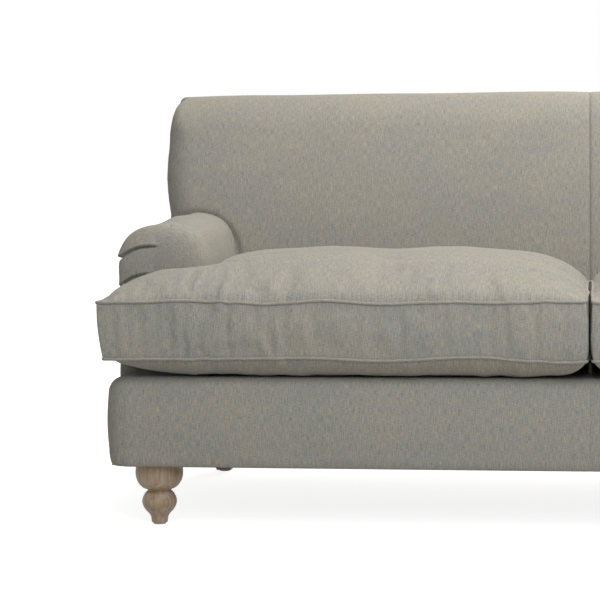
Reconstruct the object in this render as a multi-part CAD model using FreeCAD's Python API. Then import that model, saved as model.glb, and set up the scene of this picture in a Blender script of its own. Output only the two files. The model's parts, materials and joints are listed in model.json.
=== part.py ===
"""English roll arm sofa for two or three people, as an assembly of separate pieces, in millimetres.

+X runs to the right as seen from in front, +Y to the back and +Z up. The origin is the middle of the
floor under the sofa. "Left" and "right" are as seen from in front. Side pieces are made on the right
and mirrored.
"""

import FreeCAD
import Part
import math
import os

Vector = FreeCAD.Vector

# Overall sizes, read from the outer faces of the upholstery
overall_depth = 920.0
overall_height = 867.0
foot_height = 120.0
base_height = 175.0

# Seat cushions: two boxed cushions whose outer ends reach round the front of the arms
cushion_reach_past_arm = 7.0
boxing_height = 110.0
lower_crown = 37.0
upper_crown = 90.0
under_edge_run = 46.0
cushion_middle_gap = 4.0
cushion_side_clearance = 5.0
cushion_overhang = 25.0
welt_radius = 3.0
welt_proud = 1.0
ear_corner_radius = 14.0

# Arms
arm_outer_half_width = 945.0
arm_width = 175.0
arm_height = 597.0
arm_set_back = 185.0
arm_front_edge_radius = 34.0
arm_inside_padding = 30.0
arm_front_padding = 28.0
arm_roll_turn = 40.0
arm_depth_into_back = 58.0

# Base under the cushions
base_inset_from_arm = 7.0
base_corner_radius = 46.0
base_top_edge_radius = 26.0
border_padding = 26.0
deck_lip_depth = 115.0

# Back
back_depth_at_seat = 375.0
back_inset_from_arm = 6.0
back_roll_radius = 150.0
back_upright_height = 110.0
back_bottom_inset = 75.0
back_side_edge_radius = 36.0
back_padding = 62.0

# Cloth and wadding
cover_thickness = 1.5
outside_wadding = 8.0
arm_saddle_clearance = 0.5

# Timber frame
board = 28.0
ply = 22.0
outside_arm_padding = 15.0
seat_rail_height = 110.0
spring_rail_height = 60.0
spring_rail_gap = 1.0
back_frame_lean = 92.0
centre_bearer_height = 78.0
rear_rail_set_in = 6.0
lower_rail_height = 70.0
lower_rail_base = 305.0
top_rail_height = 85.0
top_rail_below_crest = 75.0
arm_board_top_drop = 69.0
centre_post_depth = 50.0
post_head_depth = 72.8
foam_over_outside_drop = 120.0
post_waist_drop = 330.0
post_set_in = 5.0
dowel_radius = 5.0
dowel_length = 50.0
dowel_glue_gap = 0.05
dowel_edge = 24.0
dowel_shift = 8.0
corner_block_size = 90.0
corner_block_height = 50.0

# Seat suspension
spring_wire_radius = 1.9
spring_loop_radius = 12.0
spring_bar_length = 24.0
springs_per_side = 5
spring_spacing = 148.0
clip_width = 30.0
clip_depth = 18.0
clip_height = 10.0
felt_thickness = 6.0

# Back webbing
strap_width = 50.0
strap_thickness = 1.6
upright_straps_per_side = 5
upright_strap_spacing = 165.0
cross_straps = 3
cross_strap_spacing = 88.0
hessian_thickness = 1.0

# Feet
foot_inset_from_frame = 85.0
front_foot_set_back = 95.0
rear_foot_inset_from_back = 63.0
rear_foot_rake = 40.0
rear_foot_top_side = 58.0
rear_foot_bottom_side = 36.0
glide_thickness = 3.0
glide_radius = 12.0
glide_nail_radius = 1.2
glide_nail_length = 12.0
foot_bolt_radius = 5.0
foot_bolt_clearance = 0.05
bolt_room_in_block = 0.3
foot_bolt_in_foot = 38.0
tee_nut_barrel_radius = 6.5
tee_nut_barrel_height = 20.0
tee_nut_flange_radius = 11.0
tee_nut_flange_thickness = 1.6

# Dust cover under the base
dust_cover_thickness = 1.0
dust_cover_gap = 1.0

# Zip in the back boxing of each cushion
zip_length = 560.0
zip_height = 28.0

# Places worked out from the sizes above
front_y = -overall_depth / 2
rear_y = overall_depth / 2
cushion_front_half_width = arm_outer_half_width + cushion_reach_past_arm
base_half_width = arm_outer_half_width - base_inset_from_arm
back_half_width = arm_outer_half_width - back_inset_from_arm
frame_half_width = arm_outer_half_width - outside_arm_padding
foot_x = frame_half_width - foot_inset_from_frame
deck_z = foot_height + base_height
base_front_y = front_y + cushion_overhang
frame_front_y = base_front_y + border_padding
frame_bottom_z = foot_height + dust_cover_gap + dust_cover_thickness
seat_rail_top = frame_bottom_z + seat_rail_height
arm_inner_x = arm_outer_half_width - arm_width
arm_radius = arm_width / 2
arm_axis_x = arm_inner_x + arm_radius
arm_axis_z = arm_height - arm_radius
arm_front_y = front_y + arm_set_back
arm_board_y = arm_front_y + arm_front_padding
arm_board_inner_x = arm_inner_x + arm_inside_padding
arm_board_top = arm_height - arm_board_top_drop
back_face_y = rear_y - back_depth_at_seat
seat_depth = back_face_y - front_y
back_frame_y = back_face_y + back_padding
back_bottom_y = rear_y - back_bottom_inset
back_roll_z = overall_height - back_roll_radius
top_rail_top = overall_height - top_rail_below_crest
foam_over_outside_top = top_rail_top - foam_over_outside_drop
rear_foot_y = back_bottom_y - rear_foot_inset_from_back
arm_tail_y = back_face_y + arm_depth_into_back
side_rail_inner_x = frame_half_width - board
felt_bottom_z = seat_rail_top + clip_height + 1.0
lower_welt_z = deck_z + lower_crown + 2.0
upper_welt_z = lower_welt_z + boxing_height
cushion_bottom_z = deck_z + 2.0
cushion_top_z = upper_welt_z + upper_crown


def box(x0, x1, y0, y1, z0, z1):
    """A box between two corners."""
    return Part.makeBox(x1 - x0, y1 - y0, z1 - z0, Vector(x0, y0, z0))


def mirrored(shape):
    """The same piece on the left-hand side."""
    return shape.mirror(Vector(0, 0, 0), Vector(1, 0, 0))


def outline_face(edges):
    """A flat face inside a closed run of edges."""
    return Part.Face(Part.Wire(edges))


def polygon_face(points):
    """A flat face inside straight edges."""
    return Part.Face(Part.makePolygon(points + points[:1]))


def line(a, b):
    return Part.LineSegment(a, b).toShape()


def arc(a, middle, b):
    return Part.Arc(a, middle, b).toShape()


def cylinder(radius, height, base, direction=Vector(0, 0, 1)):
    return Part.makeCylinder(radius, height, base, direction)


def edges_where(shape, test):
    return [edge for edge in shape.Edges if test(edge.BoundBox)]


nodes = {}


def keep(name, *solids):
    """Stores a node, as one solid or as a group of separate ones."""
    found = [solid for shape in solids for solid in shape.Solids]
    nodes[name] = found


def keep_pair(name, *solids):
    """Stores the right-hand piece and its mirror image on the left."""
    keep(name + "_right", *solids)
    keep(name + "_left", *[mirrored(solid) for solid in solids])


# Forms of the upholstery. Each takes an inset, so that a cover is one form less a slightly smaller one.


def base_form(inset):
    """The rounded block of the base from the front border back to the arm fronts."""
    half = base_half_width - inset
    block = box(-half, half, base_front_y + inset, arm_front_y, foot_height, deck_z - inset)
    corners = edges_where(
        block, lambda b: b.YLength < 0.1 and b.ZLength > base_height / 2 and b.YMax < arm_front_y - 1
    )
    block = block.makeFillet(base_corner_radius - inset, corners)
    rim = edges_where(
        block, lambda b: b.ZLength < 0.1 and b.ZMin > deck_z - inset - 1 and b.YMin < arm_front_y - 1
    )
    return block.makeFillet(base_top_edge_radius - inset, rim)


def arm_form(inset, bottom, front_inset=None):
    """The right arm: an upright slab with a half-round top, rounded over at the front."""
    front = arm_front_y + (inset if front_inset is None else front_inset)
    inner = arm_inner_x + inset
    outer = arm_outer_half_width - inset
    corners = [
        Vector(inner, front, bottom),
        Vector(inner, front, arm_axis_z),
        Vector(arm_axis_x, front, arm_height - inset),
        Vector(outer, front, arm_axis_z),
        Vector(outer, front, bottom),
    ]
    face = outline_face(
        [
            line(corners[0], corners[1]),
            arc(corners[1], corners[2], corners[3]),
            line(corners[3], corners[4]),
            line(corners[4], corners[0]),
        ]
    )
    slab = face.extrude(Vector(0, rear_y - front, 0))
    rim = edges_where(slab, lambda b: b.YMax < front + 0.1 and b.ZMax > bottom + 1)
    return slab.makeFillet(arm_front_edge_radius - inset, rim)


def back_outline(inset):
    """The back in side view: an upright face, a long lean, a round roll and a slightly curved outside.

    The lean is the arc that starts upright and runs smoothly into the circle of the roll."""
    roll_y = rear_y - back_roll_radius
    face_start_z = deck_z + back_upright_height
    run = roll_y - back_face_y
    rise = back_roll_z - face_start_z
    face_radius = (run**2 + rise**2 - back_roll_radius**2) / (2 * (run - back_roll_radius))
    lean = math.atan2(rise, face_radius - run)
    outside_radius = outside_back_radius()
    outside_angle = math.asin((back_roll_z - foot_height) / (outside_radius - inset))

    def face_point(angle, radius):
        y = back_face_y + face_radius - radius * math.cos(angle)
        return Vector(0, y, face_start_z + radius * math.sin(angle))

    def roll_point(angle, radius):
        return Vector(0, roll_y - radius * math.cos(angle), back_roll_z + radius * math.sin(angle))

    def outside_point(angle, radius):
        y = rear_y - outside_radius + radius * math.cos(angle)
        return Vector(0, y, back_roll_z - radius * math.sin(angle))

    face_r, roll_r, out_r = face_radius - inset, back_roll_radius - inset, outside_radius - inset
    crest = (lean + math.pi) / 2
    low_front = Vector(0, back_face_y + inset, felt_bottom_z)
    step_top = Vector(0, back_frame_y + board, felt_bottom_z)
    step_foot = Vector(0, back_frame_y + board, foot_height)
    low_back = outside_point(outside_angle, out_r)
    return Part.Wire(
        [
            line(low_front, face_point(0, face_r)),
            arc(face_point(0, face_r), face_point(lean / 2, face_r), face_point(lean, face_r)),
            arc(roll_point(lean, roll_r), roll_point(crest, roll_r), roll_point(math.pi, roll_r)),
            arc(outside_point(0, out_r), outside_point(outside_angle / 2, out_r), low_back),
            line(low_back, step_foot),
            line(step_foot, step_top),
            line(step_top, low_front),
        ]
    )


def back_form(inset):
    """The whole back, with its two side edges rounded along the front, the top and the rear."""
    half = back_half_width - inset
    face = Part.Face(back_outline(inset))
    block = face.extrude(Vector(2 * half, 0, 0))
    block.translate(Vector(-half, 0, 0))

    def on_side_rim(b):
        flat = b.XLength < 0.1
        above = b.ZMax > felt_bottom_z + 1 and b.ZLength + b.YLength > 150
        inner_step = abs(b.YMin - back_frame_y - board) < 1 and b.YLength < 0.1
        return flat and above and not inner_step

    return block.makeFillet(back_side_edge_radius - inset, edges_where(block, on_side_rim))


def webbing_plane(z):
    """How far back the leaning plane lies, against which the back webbing is stretched."""
    rise = max(z - lower_rail_base, 0.0)
    return back_frame_y + back_frame_lean * rise / (top_rail_top - lower_rail_base)


def back_frame_zone(front_gap, rear_gap):
    """The space the timber of the back stands in, between the foam and the outside wadding."""
    top_y = webbing_plane(top_rail_top) + front_gap
    points = [
        Vector(0, back_frame_y + front_gap, frame_bottom_z),
        Vector(0, back_frame_y + front_gap, lower_rail_base),
        Vector(0, top_y, top_rail_top),
        Vector(0, webbing_plane(top_rail_top) + post_head_depth - rear_gap, top_rail_top),
        Vector(0, outside_back_y(foam_over_outside_top) - rear_gap, foam_over_outside_top),
        Vector(0, outside_back_y(top_rail_top - post_waist_drop) - rear_gap, top_rail_top - post_waist_drop),
        Vector(0, outside_back_y(frame_bottom_z) - rear_gap, frame_bottom_z),
    ]
    return polygon_face(points)


def outside_back_radius():
    """The radius of the outside back, which is upright at the roll and comes forward below it."""
    drop = back_roll_z - foot_height
    return (back_bottom_inset**2 + drop**2) / (2 * back_bottom_inset)


def outside_back_y(z):
    """How far back the curved outside of the back lies at a height."""
    radius = outside_back_radius()
    below = max(back_roll_z - z, 0.0)
    return rear_y - radius + math.sqrt(radius**2 - below**2)


def bar_to_post(x0, x1, y0, z0, z1):
    """A bar that runs back from y0 and is bevelled to meet the leaning front edge of the back post."""
    gap = strap_thickness
    corners = [
        Vector(0, y0, z0),
        Vector(0, y0, z1),
        Vector(0, webbing_plane(z1) - gap, z1),
        Vector(0, webbing_plane(z0) - gap, z0),
    ]
    return slab_between(polygon_face(corners), x0, x1)


def leaning_rail(half_length, z0, z1):
    """A rail across the back, its front and rear faces in line with the webbing."""
    corners = [
        Vector(0, webbing_plane(z0), z0),
        Vector(0, webbing_plane(z1), z1),
        Vector(0, webbing_plane(z1) + board, z1),
        Vector(0, webbing_plane(z0) + board, z0),
    ]
    return slab_between(polygon_face(corners), -half_length, half_length)


def slab_between(face, x0, x1):
    """A flat outline in side view, extruded across the sofa."""
    solid = face.extrude(Vector(x1 - x0, 0, 0))
    solid.translate(Vector(x0, 0, 0))
    return solid


# Timber frame


def drill_and_dowel(parts, joints):
    """Bores each pair of boards for its dowels and returns the dowels, as pieces of their own."""
    dowels = []
    for first, second, place, direction in joints:
        start = place - direction * (dowel_length / 2)
        hole = cylinder(dowel_radius + dowel_glue_gap, dowel_length + 1, start - direction * 0.5, direction)
        parts[first] = parts[first].cut(hole)
        parts[second] = parts[second].cut(hole)
        dowels.append(cylinder(dowel_radius, dowel_length, start, direction))
    return dowels


def corner_block(y0):
    """A glued corner block with the bore for a foot's tee nut."""
    x1, z0 = side_rail_inner_x, frame_bottom_z
    return box(x1 - corner_block_size, x1, y0, y0 + corner_block_size, z0, z0 + corner_block_height)


def foot_places():
    """Where the four foot bolts stand."""
    front_foot_y = front_y + front_foot_set_back
    return [Vector(side * foot_x, y, 0) for side in (1, -1) for y in (front_foot_y, rear_foot_y)]


def make_frame():
    """The hardwood rails, the plywood arm fronts and back posts, and the dowels between them."""
    rail_front = frame_front_y
    rail_back = frame_front_y + board
    rear_rail_y = back_bottom_y - outside_wadding - cover_thickness - board - rear_rail_set_in
    spring_rail_y = back_frame_y - spring_rail_gap
    z0, z1 = frame_bottom_z, seat_rail_top
    spring_rail_z = z1 - spring_rail_height
    half = side_rail_inner_x
    parts = {
        "front_rail": box(-frame_half_width, frame_half_width, rail_front, rail_back, z0, z1),
        "rear_rail": box(-half, half, rear_rail_y, rear_rail_y + board, z0, z1),
        "spring_rail": box(-half, half, spring_rail_y, spring_rail_y + board, spring_rail_z, z1),
    }
    bearer_top = z0 + centre_bearer_height
    bearer = box(-board / 2, board / 2, rail_back, rear_rail_y, z0, bearer_top)
    notch = box(-board, board, spring_rail_y, spring_rail_y + board, spring_rail_z, z1)
    parts["centre_bearer"] = bearer.cut(notch)

    post_face = back_frame_zone(-strap_thickness, outside_wadding + cover_thickness + post_set_in)
    rail_x0 = arm_board_inner_x + hessian_thickness
    low_rail_top = lower_rail_base + lower_rail_height
    top_rail_base = top_rail_top - top_rail_height
    rail_y0 = arm_board_y + ply
    right_side = {
        "side_rail": bar_to_post(side_rail_inner_x, frame_half_width, rail_back, z0, z1),
        "back_post": slab_between(post_face, side_rail_inner_x, frame_half_width),
        "arm_front_board": arm_front_board(),
        "arm_board": arm_board(),
        "arm_lower_rail": bar_to_post(rail_x0, rail_x0 + board, rail_y0, lower_rail_base, low_rail_top),
    }
    for name, shape in right_side.items():
        parts[name + "_right"] = shape
        parts[name + "_left"] = mirrored(shape)
    parts["back_lower_rail"] = leaning_rail(side_rail_inner_x, lower_rail_base, low_rail_top)
    parts["back_top_rail"] = leaning_rail(side_rail_inner_x, top_rail_base, top_rail_top)
    post_front = [
        Vector(0, webbing_plane(bearer_top) + board, bearer_top),
        Vector(0, webbing_plane(lower_rail_base) + board, lower_rail_base),
        Vector(0, webbing_plane(top_rail_top) + board, top_rail_top),
    ]
    post_rear = [corner + Vector(0, centre_post_depth, 0) for corner in reversed(post_front)]
    post_rear[0] = post_front[-1] + Vector(0, centre_post_depth * 0.6, 0)
    parts["back_centre_post"] = slab_between(polygon_face(post_front + post_rear), -board / 2, board / 2)
    lower_y = webbing_plane(lower_rail_base + lower_rail_height / 2)
    top_y = webbing_plane(top_rail_top - top_rail_height / 2)

    along_x, along_y, along_z = Vector(1, 0, 0), Vector(0, 1, 0), Vector(0, 0, 1)
    board_z = arm_board_top - board / 2
    bearer_mid_z = z0 + centre_bearer_height / 2
    joints = []
    for side, sign in (("right", 1), ("left", -1)):
        side_rail, post = "side_rail_" + side, "back_post_" + side
        arm_front, arm_top = "arm_front_board_" + side, "arm_board_" + side
        inner = sign * side_rail_inner_x
        mid_rail_x = sign * (side_rail_inner_x + board / 2)
        for z in (z0 + dowel_edge, z1 - dowel_edge):
            joints.append(("front_rail", side_rail, Vector(mid_rail_x, rail_back, z), along_y))
            joints.append((side_rail, post, Vector(mid_rail_x, back_frame_y, z), along_y))
            joints.append(("rear_rail", post, Vector(inner, rear_rail_y + board / 2, z), along_x))
        for z in (lower_rail_base + dowel_edge, low_rail_top - dowel_edge):
            joints.append(("back_lower_rail", post, Vector(inner, lower_y + board / 2, z), along_x))
        for z in (top_rail_base + dowel_edge, top_rail_top - dowel_edge):
            joints.append(("back_top_rail", post, Vector(inner, top_y + board / 2, z), along_x))
        for x in (arm_board_inner_x + dowel_edge, frame_half_width - dowel_edge):
            place = Vector(sign * x, rail_y0 + dowel_shift, board_z)
            joints.append((arm_front, arm_top, place, along_y))
        place = Vector(mid_rail_x, webbing_plane(board_z) - strap_thickness, board_z)
        joints.append((arm_top, post, place, along_y))
        low_mid_z = (lower_rail_base + low_rail_top) / 2
        place = Vector(sign * (rail_x0 + board / 2), rail_y0 + dowel_shift, low_mid_z)
        joints.append((arm_front, "arm_lower_rail_" + side, place, along_y))
    joints.append(("front_rail", "centre_bearer", Vector(0, rail_back, bearer_mid_z), along_y))
    joints.append(("rear_rail", "centre_bearer", Vector(0, rear_rail_y, bearer_mid_z), along_y))
    place = Vector(0, back_frame_y + board + centre_post_depth / 2, bearer_top)
    joints.append(("centre_bearer", "back_centre_post", place, along_z))
    dowels = drill_and_dowel(parts, joints)

    blocks = []
    front_block = corner_block(rail_back)
    rear_block = corner_block(rear_rail_y - corner_block_size)
    for block in (front_block, rear_block):
        blocks += [block, mirrored(block)]
    bores = []
    block_top = frame_bottom_z + corner_block_height
    for place in foot_places():
        low = place + Vector(0, 0, frame_bottom_z - 1)
        high = place + Vector(0, 0, block_top - tee_nut_barrel_height)
        shank = cylinder(foot_bolt_radius + bolt_room_in_block, corner_block_height + 2, low)
        barrel = cylinder(tee_nut_barrel_radius + foot_bolt_clearance, tee_nut_barrel_height, high)
        bores += [shank, barrel]
    blocks = [block.cut(bores) for block in blocks]

    for name, shape in parts.items():
        keep(name, shape)
    keep("corner_blocks", *blocks)
    keep("frame_dowels", *dowels)
    return rail_front, spring_rail_y


def arm_board():
    """The flat board along the top of the arm frame."""
    return bar_to_post(
        arm_board_inner_x, frame_half_width, arm_board_y + ply, arm_board_top - board, arm_board_top
    )


def arm_front_board():
    """The plywood front of the arm: a half-round head on an upright, notched over the side rail."""
    inner, outer = arm_board_inner_x, frame_half_width
    radius = (outer - inner) / 2
    middle = (outer + inner) / 2
    head_z = arm_axis_z - 3
    low = frame_bottom_z
    points = [
        Vector(inner, arm_board_y, low),
        Vector(inner, arm_board_y, head_z),
        Vector(middle, arm_board_y, head_z + radius),
        Vector(outer, arm_board_y, head_z),
        Vector(outer, arm_board_y, seat_rail_top),
        Vector(side_rail_inner_x, arm_board_y, seat_rail_top),
        Vector(side_rail_inner_x, arm_board_y, low),
    ]
    face = outline_face(
        [
            line(points[0], points[1]),
            arc(points[1], points[2], points[3]),
            line(points[3], points[4]),
            line(points[4], points[5]),
            line(points[5], points[6]),
            line(points[6], points[0]),
        ]
    )
    return face.extrude(Vector(0, ply, 0))


# Feet and their fittings


def turned_front_foot():
    """The turned foot: a wide bun, a cut neck, a smaller bulb and a short tapered toe."""
    toe = glide_thickness
    profile = [
        (0, toe),
        (13.5, toe),
        (15.8, toe + 2.5),
        (16.4, 9),
        (17.4, 15),
        (21.0, 21),
        (27.4, 28),
        (32.6, 37),
        (34.4, 45),
        (32.8, 53),
        (28.6, 61),
        (24.2, 66.5),
    ]
    bun = [(24.2, 68.5), (31.9, 72), (39.2, 78.5), (44.6, 88), (47.0, 99), (46.8, 110), (45.6, foot_height)]
    place = Vector(foot_x, front_y + front_foot_set_back, 0)
    lower = Part.BSplineCurve()
    lower.interpolate([Vector(r, 0, z) for r, z in profile[2:]])
    upper = Part.BSplineCurve()
    upper.interpolate([Vector(r, 0, z) for r, z in bun])
    neck_low, neck_high = Vector(24.2, 0, 66.5), Vector(24.2, 0, 68.5)
    edges = [
        line(Vector(0, 0, toe), Vector(13.5, 0, toe)),
        line(Vector(13.5, 0, toe), Vector(15.8, 0, toe + 2.5)),
        lower.toShape(),
        line(neck_low, neck_high),
        upper.toShape(),
        line(Vector(45.6, 0, foot_height), Vector(0, 0, foot_height)),
        line(Vector(0, 0, foot_height), Vector(0, 0, toe)),
    ]
    solid = outline_face(edges).revolve(Vector(0, 0, 0), Vector(0, 0, 1), 360)
    solid.translate(place)
    return solid.cut(foot_bores(place, place))


def foot_bores(top_place, toe_place):
    """The hole for the hanger bolt at the top and for the glide's nail at the toe."""
    bolt_bottom = top_place + Vector(0, 0, foot_height - foot_bolt_in_foot)
    nail_bottom = toe_place + Vector(0, 0, glide_thickness)
    bolt = cylinder(foot_bolt_radius + foot_bolt_clearance, foot_bolt_in_foot + 1, bolt_bottom)
    nail = cylinder(glide_nail_radius + foot_bolt_clearance, glide_nail_length + 0.2, nail_bottom)
    return [bolt, nail]


def square_wire(side, centre):
    half = side / 2
    corners = [
        centre + Vector(x * half, y * half, 0) for x, y in ((-1, -1), (1, -1), (1, 1), (-1, 1), (-1, -1))
    ]
    return Part.makePolygon(corners)


def rear_foot_places():
    top = Vector(foot_x, rear_foot_y, foot_height)
    toe = top + Vector(0, rear_foot_rake, glide_thickness - foot_height)
    return top, toe


def raked_rear_foot():
    """The square rear foot, tapered and raked to the back."""
    top, toe = rear_foot_places()
    sections = [square_wire(rear_foot_top_side, top), square_wire(rear_foot_bottom_side, toe)]
    leg = Part.makeLoft(sections, True, True)
    flat = Vector(0, 0, 1)
    return leg.cut(foot_bores(top - flat * foot_height, toe - flat * glide_thickness))


def make_feet():
    """Four feet with their hanger bolts, tee nuts and nail-on glides."""
    keep_pair("front_foot", turned_front_foot())
    keep_pair("rear_foot", raked_rear_foot())
    top, toe = rear_foot_places()
    block_top = frame_bottom_z + corner_block_height
    bolts, nuts, glides = [], [], []
    for place in foot_places():
        bottom = foot_height - foot_bolt_in_foot
        bolts.append(cylinder(foot_bolt_radius, block_top - bottom, place + Vector(0, 0, bottom)))
        nut_bottom = place + Vector(0, 0, block_top - tee_nut_barrel_height)
        barrel = cylinder(tee_nut_barrel_radius, tee_nut_barrel_height, nut_bottom)
        flange = cylinder(tee_nut_flange_radius, tee_nut_flange_thickness, place + Vector(0, 0, block_top))
        thread = cylinder(
            foot_bolt_radius + foot_bolt_clearance,
            tee_nut_barrel_height + tee_nut_flange_thickness + 2,
            place + Vector(0, 0, block_top - tee_nut_barrel_height - 1),
        )
        nuts.append(barrel.fuse(flange).removeSplitter().cut(thread))
        is_rear = place.y > 0
        toe_place = place + Vector(0, rear_foot_rake if is_rear else 0, 0)
        disc = cylinder(glide_radius, glide_thickness, toe_place)
        nail = cylinder(glide_nail_radius, glide_nail_length, toe_place + Vector(0, 0, glide_thickness))
        glides.append(disc.fuse(nail).removeSplitter())
    keep("foot_bolts", *bolts)
    keep("foot_nuts", *nuts)
    keep("foot_glides", *glides)


# Seat suspension and deck


def serpentine_spring(x, start_y, end_y, z):
    """One sinuous wire spring: bars across, joined by half-round bends on alternate sides."""
    pitch = 2 * spring_loop_radius
    bends = int((end_y - start_y) // pitch)
    pitch = (end_y - start_y) / bends
    radius = pitch / 2
    half = spring_bar_length / 2
    edges = []
    side = 1
    y = start_y
    first = Vector(x - half, y, z)
    edges.append(line(first, Vector(x + half, y, z)))
    for _ in range(bends):
        near = Vector(x + side * half, y, z)
        far = Vector(x + side * half, y + pitch, z)
        edges.append(arc(near, Vector(x + side * (half + radius), y + radius, z), far))
        edges.append(line(far, Vector(x - side * half, y + pitch, z)))
        y += pitch
        side = -side
    path = Part.Wire(edges)
    circle = Part.Wire(Part.makeCircle(spring_wire_radius, first, Vector(1, 0, 0)))
    return path.makePipeShell([circle], True, False)


def make_suspension(rail_front, spring_rail_y):
    """Serpentine springs hooked through clips on the front and spring rails."""
    start_y = rail_front + board / 2
    end_y = spring_rail_y + board / 2
    z = seat_rail_top + clip_height / 2
    springs, clips = [], []
    for side in (1, -1):
        for i in range(springs_per_side):
            x = side * (spring_spacing / 2 + i * spring_spacing)
            springs.append(serpentine_spring(x, start_y, end_y, z))
            for y in (start_y, end_y):
                clip = box(
                    x - spring_bar_length / 2 + 1,
                    x + spring_bar_length / 2 - 1,
                    y - clip_depth / 2,
                    y + clip_depth / 2,
                    seat_rail_top,
                    seat_rail_top + clip_height,
                )
                hole = cylinder(
                    spring_wire_radius + 0.1, clip_width, Vector(x - clip_width / 2, y, z), Vector(1, 0, 0)
                )
                clips.append(clip.cut(hole))
    keep("seat_springs", *springs)
    keep("spring_clips", *clips)


def deck_slab(bottom, top, front, reach_x, ear_reach):
    """A flat layer of the seat deck: between the arms, and out to the sides in front of them."""
    middle = box(-arm_inner_x + reach_x, arm_inner_x - reach_x, front, back_face_y - 1, bottom, top)
    ears = box(-ear_reach, ear_reach, front, arm_front_y, bottom, top)
    return middle.fuse(ears).removeSplitter()


def make_deck():
    """Felt over the springs, the deck foam and the platform cloth that the cushions lie on."""
    lip_y = base_front_y + deck_lip_depth
    pad_y = frame_front_y + 2 * board
    foam_top = deck_z - cover_thickness
    felt_top = felt_bottom_z + felt_thickness
    ear_reach = base_half_width - base_top_edge_radius - 2
    keep("deck_felt", deck_slab(felt_bottom_z, felt_top, pad_y, 1, frame_half_width - board))
    keep("deck_foam", deck_slab(felt_top, foam_top, pad_y, 1, ear_reach))
    cloth = box(-arm_inner_x + 1, arm_inner_x - 1, lip_y, back_face_y - 1, foam_top, deck_z)
    keep("platform_cloth", cloth)
    return lip_y, pad_y, ear_reach


def make_border(lip_y, pad_y, ear_reach):
    """The padded front border of the base and its cover, which is seamed at the middle of the front."""
    form = base_form(cover_thickness)
    timber = box(
        -frame_half_width, frame_half_width, frame_front_y, arm_front_y + 1, foot_height - 1, seat_rail_top
    )
    deck = box(-ear_reach, ear_reach, pad_y, arm_front_y + 1, foot_height - 1, deck_z)
    inner = side_rail_inner_x
    springs = box(-inner, inner, frame_front_y + 3, pad_y + 1, seat_rail_top - 1, felt_bottom_z)
    pad = form.cut([timber, deck, springs])
    keep("border_pad", pad)
    shell = base_form(0).cut(form)
    platform = box(-arm_inner_x, arm_inner_x, lip_y, arm_front_y + 1, deck_z - 5, deck_z + 5)
    shell = shell.cut(platform)
    right = shell.common(box(0, base_half_width + 1, front_y, arm_front_y + 1, 0, deck_z + 1))
    keep_pair("border_cover", right)


# Arms


def make_arms():
    """The foam and cover of each arm, with the plain outside panel below the roll."""
    padding = arm_form(cover_thickness, foot_height)
    far = rear_y + 1
    x_far = arm_outer_half_width + 1
    z0 = foot_height - 1
    edge_y = arm_front_y + arm_front_edge_radius
    x_panel = arm_outer_half_width - cover_thickness
    hollow = box(arm_board_inner_x, x_far, arm_board_y, far, z0, arm_board_top)
    tail = box(0, x_far, arm_tail_y, far, z0, overall_height)
    below_front = box(0, x_far, front_y, arm_board_y, z0, deck_z)
    below_inside = box(0, x_far, front_y, far, z0, felt_bottom_z)
    outside = box(frame_half_width, x_far, edge_y, far, z0, arm_axis_z)
    pad = padding.cut([hollow, arm_front_board(), tail, below_front, below_inside, outside])
    keep_pair("arm_pad", max(pad.Solids, key=lambda s: s.Volume))

    shell = arm_form(0, foot_height).cut(padding)
    panel_top = arm_axis_z - arm_roll_turn
    cut_low = box(0, x_far, front_y, far, z0, deck_z)
    cut_outside = box(arm_axis_x, x_far, edge_y, far, z0, panel_top)
    keep_pair("arm_cover", shell.cut([cut_low, cut_outside, tail]))

    limit = slab_between(Part.Face(back_side_limit()), 0, x_far)
    upper = box(x_panel, arm_outer_half_width, edge_y, far, deck_z, panel_top)
    lower = box(x_panel, arm_outer_half_width, arm_front_y, far, foot_height, deck_z)
    behind_roll = box(x_panel, arm_outer_half_width, arm_tail_y, far, panel_top, arm_axis_z)
    panel = upper.fuse([lower, behind_roll]).removeSplitter().common(limit)
    keep_pair("outside_arm_cover", panel)
    filler = box(frame_half_width, x_panel, edge_y, far, foot_height, arm_axis_z)
    filler = filler.fuse(box(frame_half_width, x_panel, arm_front_y, far, foot_height, deck_z))
    keep_pair("outside_arm_wadding", filler.removeSplitter().common(limit))

    x = arm_board_inner_x
    sheet = bar_to_post(x, x + hessian_thickness, arm_board_y + ply, lower_rail_base, arm_board_top - board)
    keep("arm_hessian", sheet, mirrored(sheet))


def back_side_limit():
    """The outline that ends the side panels: straight at the front, along the outside back at the rear."""
    top = arm_axis_z + 1

    def at(z):
        return Vector(0, outside_back_y(z) - cover_thickness - 0.5, z)

    low, middle, high = at(foot_height), at((foot_height + top) / 2), at(top)
    front_low, front_high = Vector(0, front_y, foot_height), Vector(0, front_y, top)
    rear = arc(low, middle, high)
    return Part.Wire([line(front_low, low), rear, line(high, front_high), line(front_high, front_low)])


# Back


def back_panel(inset, half):
    """The outline of the back run straight across, without the rounding of its side edges."""
    return slab_between(Part.Face(back_outline(inset)), -half, half)


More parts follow.
